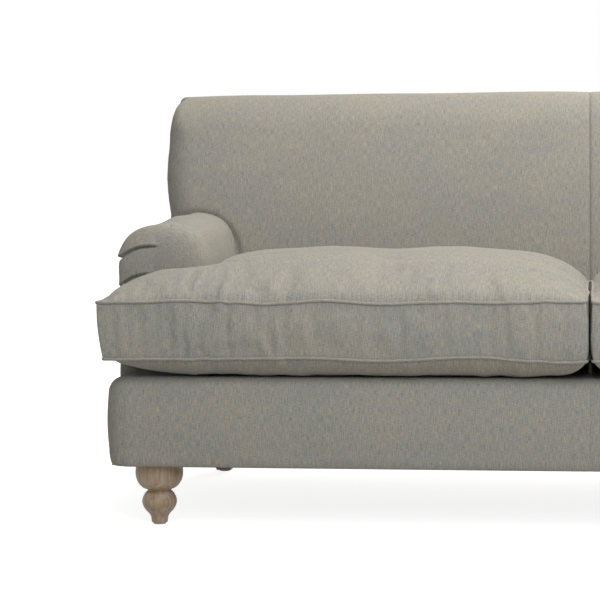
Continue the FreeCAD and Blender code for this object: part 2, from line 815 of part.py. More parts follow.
def make_back():
    """The foam back, its two inside covers and the outside panel with its wadding, cut round the arms."""
    inner = back_form(cover_thickness)
    saddle = arm_form(-arm_saddle_clearance, foot_height - 1)
    saddle = saddle.common(box(0, arm_outer_half_width + 1, front_y, arm_tail_y, 0, overall_height))
    behind = box(arm_board_inner_x - 1, arm_outer_half_width + 1, arm_tail_y - 1, rear_y + 1, 0, arm_axis_z)
    arms = [saddle, behind, arm_board()]
    arms += [mirrored(shape) for shape in arms]
    webbing_room = 2 * strap_thickness + hessian_thickness + 0.3
    timber = slab_between(back_frame_zone(-webbing_room, 0), -frame_half_width, frame_half_width)
    half = frame_half_width
    rear_low = box(-half, half, back_frame_y + board, rear_y + 1, foot_height - 1, foam_over_outside_top)
    split_z = back_roll_z
    wide = arm_outer_half_width + 1
    seam_x = back_half_width - back_side_edge_radius
    rear_y0 = back_bottom_y - 120
    skin = back_panel(0, arm_outer_half_width).cut(back_panel(cover_thickness, arm_outer_half_width))
    skin = skin.common(box(-wide, wide, rear_y0, rear_y + 1, 0, split_z))
    skin = skin.cut(box(-wide, wide, rear_y0 - 1, outside_back_y(foot_height) - 20, 0, overall_height))
    trim = box(seam_x, wide, front_y, rear_y + 1, arm_axis_z, overall_height)
    skin = max(skin.cut([trim, mirrored(trim)]).Solids, key=lambda s: s.Volume)
    keep("outside_back_cover", skin)

    pad = inner
    for cutter in [timber, rear_low] + arms:
        pad = pad.cut(cutter)
    keep("back_pad", max(pad.Solids, key=lambda s: s.Volume))
    rear_strip = box(-seam_x, seam_x, rear_y0, rear_y + 1, 0, split_z)
    below_step = box(-wide, wide, back_frame_y, rear_y + 1, 0, arm_axis_z)
    shell = back_form(0).cut(inner)
    for cutter in [rear_strip, below_step] + arms:
        shell = shell.cut(cutter)
    right = shell.common(box(0, wide, front_y, rear_y + 1, felt_bottom_z, overall_height + 1))
    keep_pair("back_cover", max(right.Solids, key=lambda s: s.Volume))

    wadding = back_panel(cover_thickness, half).cut(back_panel(cover_thickness + outside_wadding - 4, half))
    low_zone = box(-half, half, rear_y0, rear_y + 1, foot_height + 5, arm_axis_z)
    high_zone = box(-seam_x + 1, seam_x - 1, rear_y0, rear_y + 1, arm_axis_z, foam_over_outside_top - 1)
    wadding = wadding.common(low_zone.fuse(high_zone).removeSplitter())
    keep("outside_back_wadding", max(wadding.Solids, key=lambda s: s.Volume))


def leaning_sheet(x0, x1, z0, z1, offset, thickness):
    """A strap or sheet in front of the leaning plane of the back."""
    rear = [Vector(0, webbing_plane(z) - offset, z) for z in (z0, z1)]
    front = [Vector(0, webbing_plane(z) - offset - thickness, z) for z in (z1, z0)]
    return slab_between(polygon_face(rear + front), x0, x1)


def make_webbing():
    """Rubber webbing and hessian stretched in front of the back rails."""
    low = lower_rail_base + 6
    high = top_rail_top - 8
    half = strap_width / 2
    straps = []
    for side in (1, -1):
        for i in range(upright_straps_per_side):
            x = side * (upright_strap_spacing / 2 + i * upright_strap_spacing)
            straps.append(leaning_sheet(x - half, x + half, low, high, 0, strap_thickness))
    reach = frame_half_width - 4
    for i in range(cross_straps):
        z = arm_board_top + 40 + i * cross_strap_spacing
        straps.append(leaning_sheet(-reach, reach, z - half, z + half, strap_thickness, strap_thickness))
    keep("back_webbing", *straps)
    inside = arm_board_inner_x - 1
    keep("back_hessian", leaning_sheet(-inside, inside, low, high, 2 * strap_thickness, hessian_thickness))


def make_dust_cover():
    """The black cloth stapled under the base, with a hole at each foot bolt."""
    z0 = foot_height
    rear = back_bottom_y - outside_wadding - cover_thickness - 2
    z0 += dust_cover_gap
    half = frame_half_width
    sheet = box(-half, half, frame_front_y, rear, z0, z0 + dust_cover_thickness)
    holes = [cylinder(foot_bolt_radius + 1, 10, place + Vector(0, 0, z0 - 2)) for place in foot_places()]
    keep("dust_cover", sheet.cut(holes))


# Seat cushions


def cushion_plan(inset):
    """The plan of the right cushion: between the arms, with an ear that reaches in front of the arm."""
    x0 = cushion_middle_gap / 2 + inset
    x1 = arm_inner_x - cushion_side_clearance - inset
    x2 = cushion_front_half_width - inset
    y0 = front_y + inset
    y1 = arm_front_y - cushion_side_clearance - inset
    y2 = back_face_y - cushion_side_clearance - inset
    corners = [Vector(x, y, 0) for x, y in ((x0, y0), (x2, y0), (x2, y1), (x1, y1), (x1, y2), (x0, y2))]
    block = polygon_face(corners).extrude(Vector(0, 0, 1))
    hollow = edges_where(block, lambda b: b.ZLength > 0.5 and abs(b.XMin - x1) + abs(b.YMin - y1) < 0.1)
    block = block.makeFillet(ear_corner_radius + inset, hollow)
    sharp = [edge for edge in block.Edges if edge.BoundBox.ZLength > 0.5 and len(edge.Vertexes) == 2]
    sharp = [
        edge
        for edge in sharp
        if any(abs(edge.Vertexes[0].X - c.x) + abs(edge.Vertexes[0].Y - c.y) < 0.1 for c in corners)
    ]
    block = block.makeFillet(ear_corner_radius - inset, sharp)
    top = [face for face in block.Faces if face.BoundBox.ZMin > 0.5][0]
    wire = top.OuterWire.copy()
    wire.translate(Vector(0, 0, -1))
    return wire


def crown_face(across, curve, ends, low_run, inset):
    """A slab with a curved top, a flat bottom and sloping under-edges, as seen along one direction.

    across turns a distance and a height into a point. curve lists fractions of the span and the crown.
    """
    first = ends[0] + welt_proud + inset
    last = ends[1] - welt_proud - inset
    low = cushion_bottom_z + inset
    edge_low = lower_welt_z + inset / 2
    edge_high = upper_welt_z - inset / 2
    crown = upper_crown - inset / 2
    tops = [across(first + f * (last - first), edge_high + h * crown) for f, h in curve]
    spline = Part.BSplineCurve()
    spline.interpolate(tops)
    foot = [
        across(first, edge_low),
        across(first + low_run[0], low),
        across(last - low_run[1], low),
        across(last, edge_low),
    ]
    edges = [line(a, b) for a, b in zip(foot, foot[1:])]
    edges += [line(foot[-1], tops[-1]), spline.toShape(), line(tops[0], foot[0])]
    return outline_face(edges)


def crown_across(inset):
    """The cushion seen from in front: it falls away fast at the middle and gently over the ear."""
    curve = [
        (0.0, 0.26),
        (0.04, 0.5),
        (0.085, 0.69),
        (0.13, 0.82),
        (0.21, 0.92),
        (0.35, 0.99),
        (0.5, 1.0),
        (0.67, 0.96),
        (0.75, 0.89),
        (0.82, 0.78),
        (0.92, 0.5),
        (1.0, 0.04),
    ]
    ends = (cushion_middle_gap / 2, cushion_front_half_width)
    runs = (under_edge_run, 2 * under_edge_run)
    face = crown_face(lambda x, z: Vector(x, front_y - 50, z), curve, ends, runs, inset)
    return face.extrude(Vector(0, overall_depth, 0))


def crown_along(inset):
    """The cushion seen from the side: fullest towards the back."""
    curve = [
        (0.0, 0.04),
        (0.06, 0.36),
        (0.18, 0.66),
        (0.34, 0.84),
        (0.55, 0.97),
        (0.74, 1.0),
        (0.9, 0.88),
        (1.0, 0.5),
    ]
    ends = (front_y, back_face_y - cushion_side_clearance)
    runs = (under_edge_run, under_edge_run)
    face = crown_face(lambda y, z: Vector(-20, y, z), curve, ends, runs, inset)
    return face.extrude(Vector(cushion_front_half_width + 60, 0, 0))


def cushion_form(inset):
    """The right cushion: its plan, crowned across and along."""
    block = Part.Face(cushion_plan(welt_proud + inset)).extrude(Vector(0, 0, overall_height))
    return block.common(crown_across(inset)).common(crown_along(inset))


def welt_tube(z):
    """The piped edge: a round cord along the plan of the cushion."""
    wire = cushion_plan(welt_radius)
    wire.translate(Vector(0, 0, z))
    straight = max(wire.Edges, key=lambda edge: edge.Length)
    start = straight.Vertexes[0].Point
    end = straight.Vertexes[1].Point
    circle = Part.Wire(Part.makeCircle(welt_radius, start, end - start))
    return wire.makePipeShell([circle], True, True)


def make_cushions():
    """Each cushion: a foam and feather core, three cover panels, two piped edges and a zip at the back."""
    outer = cushion_form(0)
    core = cushion_form(cover_thickness)
    welts = [welt_tube(lower_welt_z + welt_radius), welt_tube(upper_welt_z - welt_radius)]
    zip_y = back_face_y - cushion_side_clearance - welt_proud
    zip_x = (arm_inner_x - zip_length) / 2
    zip_z = (lower_welt_z + upper_welt_z - zip_height) / 2
    zip_strip = box(zip_x, zip_x + zip_length, zip_y - cover_thickness, zip_y, zip_z, zip_z + zip_height)
    cover = outer.cut(core).cut(welts + [zip_strip])
    core = core.cut(welts)
    keep_pair("cushion_cover", *sorted(cover.Solids, key=lambda s: -s.Volume)[:3])
    keep_pair("cushion_core", max(core.Solids, key=lambda s: s.Volume))
    keep_pair("cushion_welts", *welts)
    keep_pair("cushion_zip", zip_strip)


def main():
    os.makedirs("parts", exist_ok=True)
    rail_front, spring_rail_y = make_frame()
    make_feet()
    make_suspension(rail_front, spring_rail_y)
    lip_y, pad_y, ear_reach = make_deck()
    make_border(lip_y, pad_y, ear_reach)
    make_arms()
    make_back()
    make_webbing()
    make_dust_cover()
    make_cushions()
    for name, solids in nodes.items():
        shape = solids[0] if len(solids) == 1 else Part.makeCompound(solids)
        shape.exportStep(os.path.join("parts", name + ".step"))
        bounds = shape.BoundBox
        volume = sum(solid.Volume for solid in solids)
        valid = all(solid.isValid() for solid in solids)
        print(
            f"{name}: {len(solids)} solid(s), {volume / 1e6:.3f} litres, valid {valid}, "
            f"x {bounds.XMin:.1f}..{bounds.XMax:.1f} y {bounds.YMin:.1f}..{bounds.YMax:.1f} "
            f"z {bounds.ZMin:.1f}..{bounds.ZMax:.1f}"
        )
    print(len(nodes), "nodes")


main()
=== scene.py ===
"""Upholstery, finishes, stage and camera of an english roll arm sofa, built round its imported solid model.

Lengths in the shape functions are millimetres in the frame of the solids: +X to the right as seen from in
front, +Y to the back, +Z up. A mesh gets them in metres. Every shape is made for the right side and
mirrored for the left one.
"""
import json
import math

import bmesh
import bpy
import numpy as np
from mathutils import Matrix, Vector


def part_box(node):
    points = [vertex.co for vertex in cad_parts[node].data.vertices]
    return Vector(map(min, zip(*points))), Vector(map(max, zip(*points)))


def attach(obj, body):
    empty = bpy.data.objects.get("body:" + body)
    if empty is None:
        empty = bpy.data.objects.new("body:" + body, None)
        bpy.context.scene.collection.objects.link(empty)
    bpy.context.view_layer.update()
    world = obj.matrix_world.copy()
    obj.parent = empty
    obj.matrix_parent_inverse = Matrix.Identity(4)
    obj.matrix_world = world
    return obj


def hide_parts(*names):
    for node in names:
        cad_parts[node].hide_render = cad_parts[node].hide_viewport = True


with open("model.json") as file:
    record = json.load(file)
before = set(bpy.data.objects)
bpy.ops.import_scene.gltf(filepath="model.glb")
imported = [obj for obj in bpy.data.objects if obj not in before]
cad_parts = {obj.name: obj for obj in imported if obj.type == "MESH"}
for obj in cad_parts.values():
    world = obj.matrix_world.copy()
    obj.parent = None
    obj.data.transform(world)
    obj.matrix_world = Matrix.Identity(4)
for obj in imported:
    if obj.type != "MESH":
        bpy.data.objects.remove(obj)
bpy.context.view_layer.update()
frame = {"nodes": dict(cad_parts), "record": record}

bl_info = {
    "name": "English roll arm sofa",
    "version": (1, 0, 0),
    "blender": (4, 5, 0),
    "location": "View3D > Sidebar > Sofa",
    "description": "Upholstery, finishes and stage of an english roll arm sofa",
    "category": "Object",
}

MM = 0.001
SIDES = (("right", 1.0), ("left", -1.0))
MIRROR = np.array([-1.0, 1.0, 1.0])


def top_of(node):
    """Highest corner of a solid, in millimetres."""
    return np.array(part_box(node)[1]) / MM


def bottom_of(node):
    """Lowest corner of a solid, in millimetres."""
    return np.array(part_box(node)[0]) / MM


# Places that the solids fix, in millimetres.
SEAT_FRONT = bottom_of("cushion_core_right")[1]
SEAT_OUTER = top_of("cushion_core_right")[0]
SEAT_REAR = top_of("cushion_core_right")[1]
BASE_FRONT = bottom_of("border_cover_right")[1]
BASE_OUTER = top_of("border_cover_right")[0]
BASE_BOTTOM = bottom_of("border_cover_right")[2]
DECK_TOP = top_of("platform_cloth")[2]


# Settings.


class SofaSizes(bpy.types.PropertyGroup):
    """Sizes of the upholstery that the solids leave open."""

    seat_crown: bpy.props.FloatProperty(
        name="Seat crown", description="How far a cushion's top rises above its upper piping",
        default=0.088, min=0.03, max=0.095, unit="LENGTH",
    )
    boxing_bulge: bpy.props.FloatProperty(
        name="Boxing bulge", description="How far the cushion's front boxing stands out between its pipings",
        default=0.004, min=0.0, max=0.008, unit="LENGTH",
    )
    piping_radius: bpy.props.FloatProperty(
        name="Piping radius", description="Radius of the cord sewn in along the cushion's edges",
        default=0.0031, min=0.002, max=0.005, unit="LENGTH",
    )
    pleat_depth: bpy.props.FloatProperty(
        name="Pleat depth", description="Depth of the folds on the front of each arm",
        default=0.006, min=0.0, max=0.012, unit="LENGTH",
    )
    seam_gather: bpy.props.FloatProperty(
        name="Seam gather", description="Share by which a cushion's seams are shorter than its panels",
        default=0.05, min=0.0, max=0.1, subtype="FACTOR",
    )
    seam_depth: bpy.props.FloatProperty(
        name="Seam depth", description="Depth of the plain seams of the back and the border",
        default=0.003, min=0.0, max=0.006, unit="LENGTH",
    )


class SofaColours(bpy.types.PropertyGroup):
    """Colours of the finishes, as sRGB hex."""

    linen_warm: bpy.props.StringProperty(
        name="Warm yarn", description="Beige yarn of the linen", default="#a39b88",
    )
    linen_cool: bpy.props.StringProperty(
        name="Cool yarn", description="Grey-blue yarn of the linen", default="#898c90",
    )
    linen_dark: bpy.props.StringProperty(
        name="Shadow yarn", description="Darkest flecks between the yarns", default="#78756a",
    )
    linen_light: bpy.props.StringProperty(
        name="Light yarn", description="Palest yarn of the linen", default="#b0a998",
    )
    linen_slub: bpy.props.StringProperty(
        name="Slubs", description="Thick pale places in single yarns", default="#bdb7a6",
    )
    wood_pale: bpy.props.StringProperty(
        name="Limed wood", description="Pale limed face of the feet", default="#baa58f",
    )
    wood_grain: bpy.props.StringProperty(
        name="Wood grain", description="Grain lines of the feet", default="#93795e",
    )
    wood_lime: bpy.props.StringProperty(
        name="Lime", description="Lime paste left between the grain lines", default="#bba98f",
    )


class SofaStage(bpy.types.PropertyGroup):
    """Lights and camera."""

    key_power: bpy.props.FloatProperty(
        name="Key lamp", description="Power of the large lamp above the seat",
        default=51.0, min=0.0, unit="POWER",
    )
    front_power: bpy.props.FloatProperty(
        name="Front lamp", description="Power of the large lamp in front",
        default=70.0, min=0.0, unit="POWER",
    )
    rear_power: bpy.props.FloatProperty(
        name="Rear lamps", description="Power of each of the two large lamps above and behind the back",
        default=38.0, min=0.0, unit="POWER",
    )
    fill_strength: bpy.props.FloatProperty(
        name="Fill light", description="Strength of the even light from all round", default=0.2, min=0.0,
    )
    lens: bpy.props.FloatProperty(
        name="Lens", description="Focal length of the camera", default=124.7, min=20.0, unit="CAMERA",
    )


# Meshes.


def smooth(t):
    """Rises from 0 to 1 with level ends: 3 t squared less 2 t cubed, t held between 0 and 1."""
    t = np.clip(t, 0.0, 1.0)
    return t * t * (3.0 - 2.0 * t)


def bell(distance, reach):
    """A hump of height 1 over a line: exp(-(distance / reach) squared)."""
    return np.exp(-((distance / reach) ** 2))


def closer_at_ends(n, share):
    """n places from 0 to 1, closer together at both ends: t less share times sin(2 pi t) / (2 pi)."""
    t = np.linspace(0.0, 1.0, n)
    return t - share * np.sin(2.0 * math.pi * t) / (2.0 * math.pi)


def closer_at_start(n, reach, share):
    """n places from 0 to 1, closer together before reach: there share of t is taken as t squared / reach."""
    t = np.linspace(0.0, 1.0, n)
    return np.where(t < reach, t * t / reach * share + t * (1.0 - share), t)


def lengths(points):
    """Distance run along each row of points, starting at 0, for points of shape (..., n, 2 or 3)."""
    steps = np.linalg.norm(np.diff(points, axis=-2), axis=-1)
    return np.concatenate([np.zeros(steps.shape[:-1] + (1,)), np.cumsum(steps, axis=-1)], axis=-1)


def waves(seed, count, low, high):
    """A sum of sines of one variable with wavelengths from low to high mm, amplitude about 1."""
    rng = np.random.default_rng(seed)
    length = rng.uniform(low, high, count)
    phase = rng.uniform(0.0, 2.0 * math.pi, count)
    size = rng.uniform(0.5, 1.0, count)
    size /= np.sqrt((size**2).sum() / 2.0)

    def value(s):
        s = np.asarray(s, float)[..., None]
        return (size * np.sin(2.0 * math.pi * s / length + phase)).sum(axis=-1)

    return value


def grid_normals(points):
    """Unit normals of a grid of points, from the cross product of its two differences."""
    normal = np.cross(np.gradient(points, axis=0), np.gradient(points, axis=1))
    return normal / np.maximum(np.linalg.norm(normal, axis=-1, keepdims=True), 1e-9)


def cells_of(index):
    """The four corners of each cell in a grid of vertex numbers, one row for a cell."""
    return np.stack([index[:-1, :-1], index[1:, :-1], index[1:, 1:], index[:-1, 1:]], axis=-1).reshape(-1, 4)


def new_mesh(name, places, faces, uv):
    """A mesh from places in metres, its faces, and one uv pair in metres for each corner of each face."""
    mesh = bpy.data.meshes.new(name)
    mesh.from_pydata(places.tolist(), [], faces.tolist())
    layer = mesh.uv_layers.new(name="cloth")
    layer.data.foreach_set("uv", uv.astype(np.float32).ravel())
    return mesh


def shade_smooth(mesh):
    """Shades every face of a mesh smoothly."""
    mesh.polygons.foreach_set("use_smooth", np.ones(len(mesh.polygons), bool))
    mesh.update()


def turn_outwards(mesh):
    """Turns the faces of a closed mesh outwards."""
    work = bmesh.new()
    work.from_mesh(mesh)
    bmesh.ops.recalc_face_normals(work, faces=work.faces)
    work.to_mesh(mesh)
    work.free()


def mesh_of(name, patches, weld):
    """One mesh from several grids. A patch is (points (n, m, 3) in mm, uv (n, m, 2) in m, turned over or not).

    Each cell of a grid becomes a four-sided face. Points closer than weld are merged, so that grids that
    share an edge are sewn together.
    """
    corners, faces, uvs, start = [], [], [], 0
    for points, uv, turned in patches:
        n, m = points.shape[:2]
        cells = cells_of(np.arange(n * m).reshape(n, m) + start)
        corners.append(points.reshape(-1, 3))
        faces.append(cells[:, ::-1] if turned else cells)
        uvs.append(uv.reshape(-1, 2))
        start += n * m
    corners, faces, uvs = np.concatenate(corners) * MM, np.concatenate(faces), np.concatenate(uvs)
    mesh = new_mesh(name, corners, faces, uvs[faces.ravel()])
    welded = bmesh.new()
    welded.from_mesh(mesh)
    bmesh.ops.remove_doubles(welded, verts=welded.verts, dist=weld * MM)
    bmesh.ops.dissolve_degenerate(welded, edges=welded.edges, dist=weld * MM * 0.1)
    welded.to_mesh(mesh)
    welded.free()
    shade_smooth(mesh)
    return mesh


def mirrored(patches, sign):
    """The patches as they are for the right side, or with x turned round for the left one."""
    if sign > 0:
        return patches
    return [(points * MIRROR, uv * MIRROR[:2], not turned) for points, uv, turned in patches]


def piece(name, patches, body, slot, replaces=(), weld=0.02, closed=True):
    """A new object from patches in its slot's finish, riding on a body and standing for solids of the model."""
    made = bpy.data.objects.new(name, mesh_of(name, patches, weld))
    bpy.context.scene.collection.objects.link(made)
    made.data.materials.append(finish_of(slot))
    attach(made, body)
    if replaces:
        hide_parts(*replaces)
    if closed:
        turn_outwards(made.data)
    return made


def subdivide(made, levels=1):
    """A Subdivision Surface modifier with equal levels on screen and in the render."""
    smoother = made.modifiers.new("Subdivision", "SUBSURF")
    smoother.levels = smoother.render_levels = levels
    smoother.use_limit_surface = False


def slab_patches(face, inner, uv, turned=False):
    """A thin closed slab: a face grid, an inner grid and the four strips between their edges.

    The patches of the two grids are turned over or not; a closed piece gets its faces outwards afterwards.
    """
    patches = [(face, uv, turned), (inner, uv, not turned)]
    for at, over in ((0, True), (-1, False)):
        patches.append((np.stack([face[at], inner[at]]), np.stack([uv[at], uv[at]]), over))
    for at, over in ((0, False), (-1, True)):
        patches.append((np.stack([face[:, at], inner[:, at]]), np.stack([uv[:, at], uv[:, at]]), over))
    return patches


def rounded_edge(distance, radius):
    """How far a face has dropped at a distance from an edge that is rounded by a quarter circle."""
    t = np.clip(distance / radius, 0.0, 1.0)
    return radius * (1.0 - np.sqrt(np.clip(1.0 - (1.0 - t) ** 2, 0.0, 1.0)))


# Materials.

WHITE = (1.0, 1.0, 1.0, 1.0)


def colour(hex_code):
    """Linear RGBA from an sRGB hex code."""
    value = np.array([int(hex_code[i : i + 2], 16) / 255.0 for i in (1, 3, 5)])
    linear = np.where(value <= 0.04045, value / 12.92, ((value + 0.055) / 1.055) ** 2.4)
    return (*linear.tolist(), 1.0)


def feed(tree, node, values):
    """Sets a node's inputs, or links an input where its value is the output of another node."""
    for key, value in values.items():
        if isinstance(value, bpy.types.NodeSocket):
            tree.links.new(value, node.inputs[key])
        else:
            node.inputs[key].default_value = value


def add(tree, kind, values=None, stops=(), **settings):
    """Adds a node, sets its fields, feeds its inputs, and gives a colour ramp its (place, colour) stops."""
    made = tree.nodes.new(kind)
    for key, value in settings.items():
        setattr(made, key, value)
    feed(tree, made, values or {})
    marks = made.color_ramp.elements if stops else ()
    while len(marks) < len(stops):
        marks.new(0.5)
    for mark, (place, shade) in zip(marks, stops):
        mark.position = place
        mark.color = shade
    return made


def material(name):
    """A new material with its node tree, principled shader and output."""
    made = bpy.data.materials.new(name)
    made.use_nodes = True
    tree = made.node_tree
    tree.nodes.clear()
    shader = add(tree, "ShaderNodeBsdfPrincipled")
    add(tree, "ShaderNodeOutputMaterial", {"Surface": shader.outputs["BSDF"]})
    return made, tree, shader


def linen(colours):
    """Linen blend in plain weave: warm and cool yarns of uneven thickness, matt, with a soft sheen.

    The real yarns are 0.6 mm apart. They are drawn 1.1 mm wide, so that the weave still shows at the
    distance of the camera. Slubs are the thick places of a yarn. Patches are the cloth's slow unevenness.
    """
    made, tree, shader = material("linen_blend_plain_weave")
    place = add(tree, "ShaderNodeUVMap", uv_map="cloth").outputs["UV"]
    thread = 1.1

    def yarn(width, run, seed, detail):
        """Noise drawn out to a width and a run in mm, from its own place in the noise."""
        stretch = add(tree, "ShaderNodeMapping", {
            "Vector": place, "Location": (seed, seed * 1.7, 0.0),
            "Scale": (1.0 / (width * MM), 1.0 / (run * MM), 1.0),
        })
        return add(tree, "ShaderNodeTexNoise", {
            "Vector": stretch.outputs["Vector"], "Scale": 1.0, "Detail": detail, "Roughness": 0.6,
        }, noise_dimensions="2D").outputs["Fac"]

    upright = yarn(thread, 17.0, 3.0, 1.0)
    level = yarn(9.0, thread, 7.0, 1.0)
    flecks = yarn(1.4, 1.6, 11.0, 2.0)
    slubs = yarn(1.8, 60.0, 17.0, 1.0)
    patches = yarn(150.0, 110.0, 23.0, 3.0)
    woven = add(tree, "ShaderNodeMix", {"A": upright, "B": level, "Factor": 0.42}, data_type="FLOAT")
    mixed = add(tree, "ShaderNodeMix", {"A": woven.outputs["Result"], "B": flecks, "Factor": 0.34},
                data_type="FLOAT")
    shade = add(tree, "ShaderNodeValToRGB", {"Fac": mixed.outputs["Result"]}, [
        (0.33, colour(colours.linen_dark)),
        (0.45, colour(colours.linen_cool)),
        (0.55, colour(colours.linen_warm)),
        (0.67, colour(colours.linen_light)),
    ])
    slubbed = add(tree, "ShaderNodeMapRange", {"Value": slubs, "From Min": 0.6, "From Max": 0.78,
                                               "To Min": 0.0, "To Max": 0.25})
    with_slubs = add(tree, "ShaderNodeMix", {
        "Factor": slubbed.outputs["Result"], "A": shade.outputs["Color"], "B": colour(colours.linen_slub),
    }, data_type="RGBA")
    tone = add(tree, "ShaderNodeValToRGB", {"Fac": patches},
               [(0.3, (0.93, 0.94, 0.97, 1.0)), (0.7, (1.0, 0.99, 0.96, 1.0))])
    final = add(tree, "ShaderNodeMix", {
        "Factor": 1.0, "A": with_slubs.outputs["Result"], "B": tone.outputs["Color"],
    }, data_type="RGBA", blend_type="MULTIPLY")
    bump = add(tree, "ShaderNodeBump", {"Height": mixed.outputs["Result"], "Strength": 0.35,
                                        "Distance": 0.6 * MM})
    feed(tree, shader, {
        "Base Color": final.outputs["Result"], "Normal": bump.outputs["Normal"], "Roughness": 0.92,
        "Sheen Weight": 0.12, "Sheen Roughness": 0.5, "Specular IOR Level": 0.25,
    })
    return made


def limed_beech(colours):
    """Beech rubbed with lime paste: pale, matt, with fine upright grain and small dark pores.

    The grain's bands are about 8 mm wide and 110 mm long, the pores about 1.4 mm by 17 mm.
    """
    made, tree, shader = material("limed_beech_satin")
    place = add(tree, "ShaderNodeTexCoord").outputs["Object"]
    along = add(tree, "ShaderNodeMapping", {"Vector": place, "Scale": (120.0, 120.0, 9.0)})
    grain = add(tree, "ShaderNodeTexNoise", {"Vector": along.outputs["Vector"], "Scale": 1.0, "Detail": 4.0,
                                             "Roughness": 0.65, "Distortion": 0.6})
    fine = add(tree, "ShaderNodeMapping", {"Vector": place, "Scale": (700.0, 700.0, 60.0)})
    pores = add(tree, "ShaderNodeTexNoise", {"Vector": fine.outputs["Vector"], "Scale": 1.0, "Detail": 2.0})
    shade = add(tree, "ShaderNodeValToRGB", {"Fac": grain.outputs["Fac"]}, [
        (0.3, colour(colours.wood_grain)), (0.62, colour(colours.wood_pale)), (0.8, colour(colours.wood_lime)),
    ])
    dark = add(tree, "ShaderNodeValToRGB", {"Fac": pores.outputs["Fac"]},
               [(0.34, (0.72, 0.68, 0.62, 1.0)), (0.42, WHITE)])
    final = add(tree, "ShaderNodeMix", {
        "Factor": 0.6, "A": shade.outputs["Color"], "B": dark.outputs["Color"],
    }, data_type="RGBA", blend_type="MULTIPLY")
    bump = add(tree, "ShaderNodeBump", {"Height": pores.outputs["Fac"], "Strength": 0.2, "Distance": 0.4 * MM})
    feed(tree, shader, {"Base Color": final.outputs["Result"], "Normal": bump.outputs["Normal"],
                        "Roughness": 0.5, "Specular IOR Level": 0.4})
    return made


def speckled(name, low, high, grain, roughness, metallic=0.0, stretch=(1.0, 1.0, 1.0), bump_mm=0.3):
    """A material of two shades mixed by noise of the given grain in mm, with matching bump."""
    made, tree, shader = material(name)
    place = add(tree, "ShaderNodeTexCoord").outputs["Object"]
    scaled = add(tree, "ShaderNodeMapping", {"Vector": place,
                                             "Scale": tuple(s / (grain * MM) for s in stretch)})
    noise = add(tree, "ShaderNodeTexNoise", {"Vector": scaled.outputs["Vector"], "Scale": 1.0, "Detail": 3.0})
    shade = add(tree, "ShaderNodeValToRGB", {"Fac": noise.outputs["Fac"]},
                [(0.35, colour(low)), (0.65, colour(high))])
    bump = add(tree, "ShaderNodeBump", {"Height": noise.outputs["Fac"], "Strength": 0.4,
                                        "Distance": bump_mm * MM})
    feed(tree, shader, {"Base Color": shade.outputs["Color"], "Normal": bump.outputs["Normal"],
                        "Roughness": roughness, "Metallic": metallic})
    return made


# Finishes of the plain slots, as what speckled is given: name, darker and lighter shade, grain, roughness.
SPECKLED = {
    # Cotton twill of the platform, closely woven: off-white and matt.
    "platform_cotton": (("platform_cotton_twill", "#b7b09c", "#c9c3b0", 1.6, 0.9), {}),
    # Spun and pressed fibres under the base: black, no gloss.
    "dust_cloth": (("spunbond_dust_cloth", "#1b1b1c", "#2b2b2d", 1.2, 0.95), {}),
    # Loosely woven jute: brown, coarse and dull.
    "hessian": (("jute_hessian", "#8a6c44", "#b1905f", 2.0, 0.95), {}),
    # Jute bands woven tighter along their length: darker, with long streaks.
    "webbing": (("jute_webbing", "#7b5d3b", "#a78556", 3.0, 0.95), {"stretch": (1.0, 1.0, 0.3)}),
    # Needled waste fibres: mottled grey, fully matt.
    "felt": (("recycled_felt", "#5d5b57", "#86827c", 4.0, 1.0), {}),
    # Loose carded fibres: white and cloudy, fully matt.
    "wadding": (("polyester_wadding", "#dedcd6", "#f0efea", 6.0, 1.0), {}),
    # Cut foam with open cells: pale yellow, finely pitted, dull.
    "foam": (("polyurethane_foam", "#d8cf9f", "#e9e2b8", 1.5, 0.95), {}),
    # Dense cambric case over feathers: cream, softly clouded, matt.
    "feather_filling": (("feather_wrap_cambric", "#e3ded2", "#f0ece2", 5.0, 0.95), {}),
    # Birch veneer, peeled and pressed: yellow-brown with streaks across, slightly smooth.
    "plywood": (("birch_plywood", "#b9966a", "#d1b185", 2.0, 0.7), {"stretch": (0.2, 1.0, 1.0)}),
    # Beech as it leaves the planer: red-brown with short streaks, slightly smooth.
    "hardwood": (("planed_beech", "#a97c4f", "#c89b6a", 3.0, 0.65), {"stretch": (1.0, 0.15, 0.4)}),
    # Drawn wire with an oil film: dark grey metal with a soft shine.
    "spring_steel": (("oiled_spring_steel", "#4d5054", "#6b6f74", 1.0, 0.4),
                     {"metallic": 1.0, "bump_mm": 0.05}),
    # Steel dipped in bright zinc: pale metal with a clearer shine.
    "zinc_steel": (("zinc_plated_steel", "#9da3a8", "#c1c6ca", 1.5, 0.35),
                   {"metallic": 1.0, "bump_mm": 0.05}),
    # Moulded polyethylene: cream, waxy, softly shining.
    "glide_plastic": (("moulded_polyethylene", "#d7d2c6", "#e2ded3", 2.0, 0.45), {"bump_mm": 0.05}),
    # Nylon coil sewn to its tape: dull beige close to the linen.
    "zip_plastic": (("nylon_coil_zip", "#85806f", "#a09a88", 1.2, 0.6), {"bump_mm": 0.1}),
}
OWN_FINISHES = {"linen": linen, "limed_beech": limed_beech}
FINISHES = {}


def finish_of(slot):
    """The material of a slot of the record, made when it is first asked for."""
    if slot not in FINISHES:
        if slot in OWN_FINISHES:
            FINISHES[slot] = OWN_FINISHES[slot](bpy.context.scene.sofa_colours)
        else:
            given, differing = SPECKLED[slot]
            FINISHES[slot] = speckled(*given, **differing)
    return FINISHES[slot]


# Seat cushions, in mm: inner seam beside the middle, heights of the two pipings and of the flat underside,
# the inner corner of the T, the spacing of the grid and the rows up the boxing.

CUSHION_CENTRE = 3.2
LOWER_WELT = 334.0
UPPER_WELT = 444.0
CUSHION_BOTTOM = 297.5
EAR_BACK = -280.0
EAR_INNER = 765.0
CUSHION_STEP = 9.0
BOXING_ROWS = 13
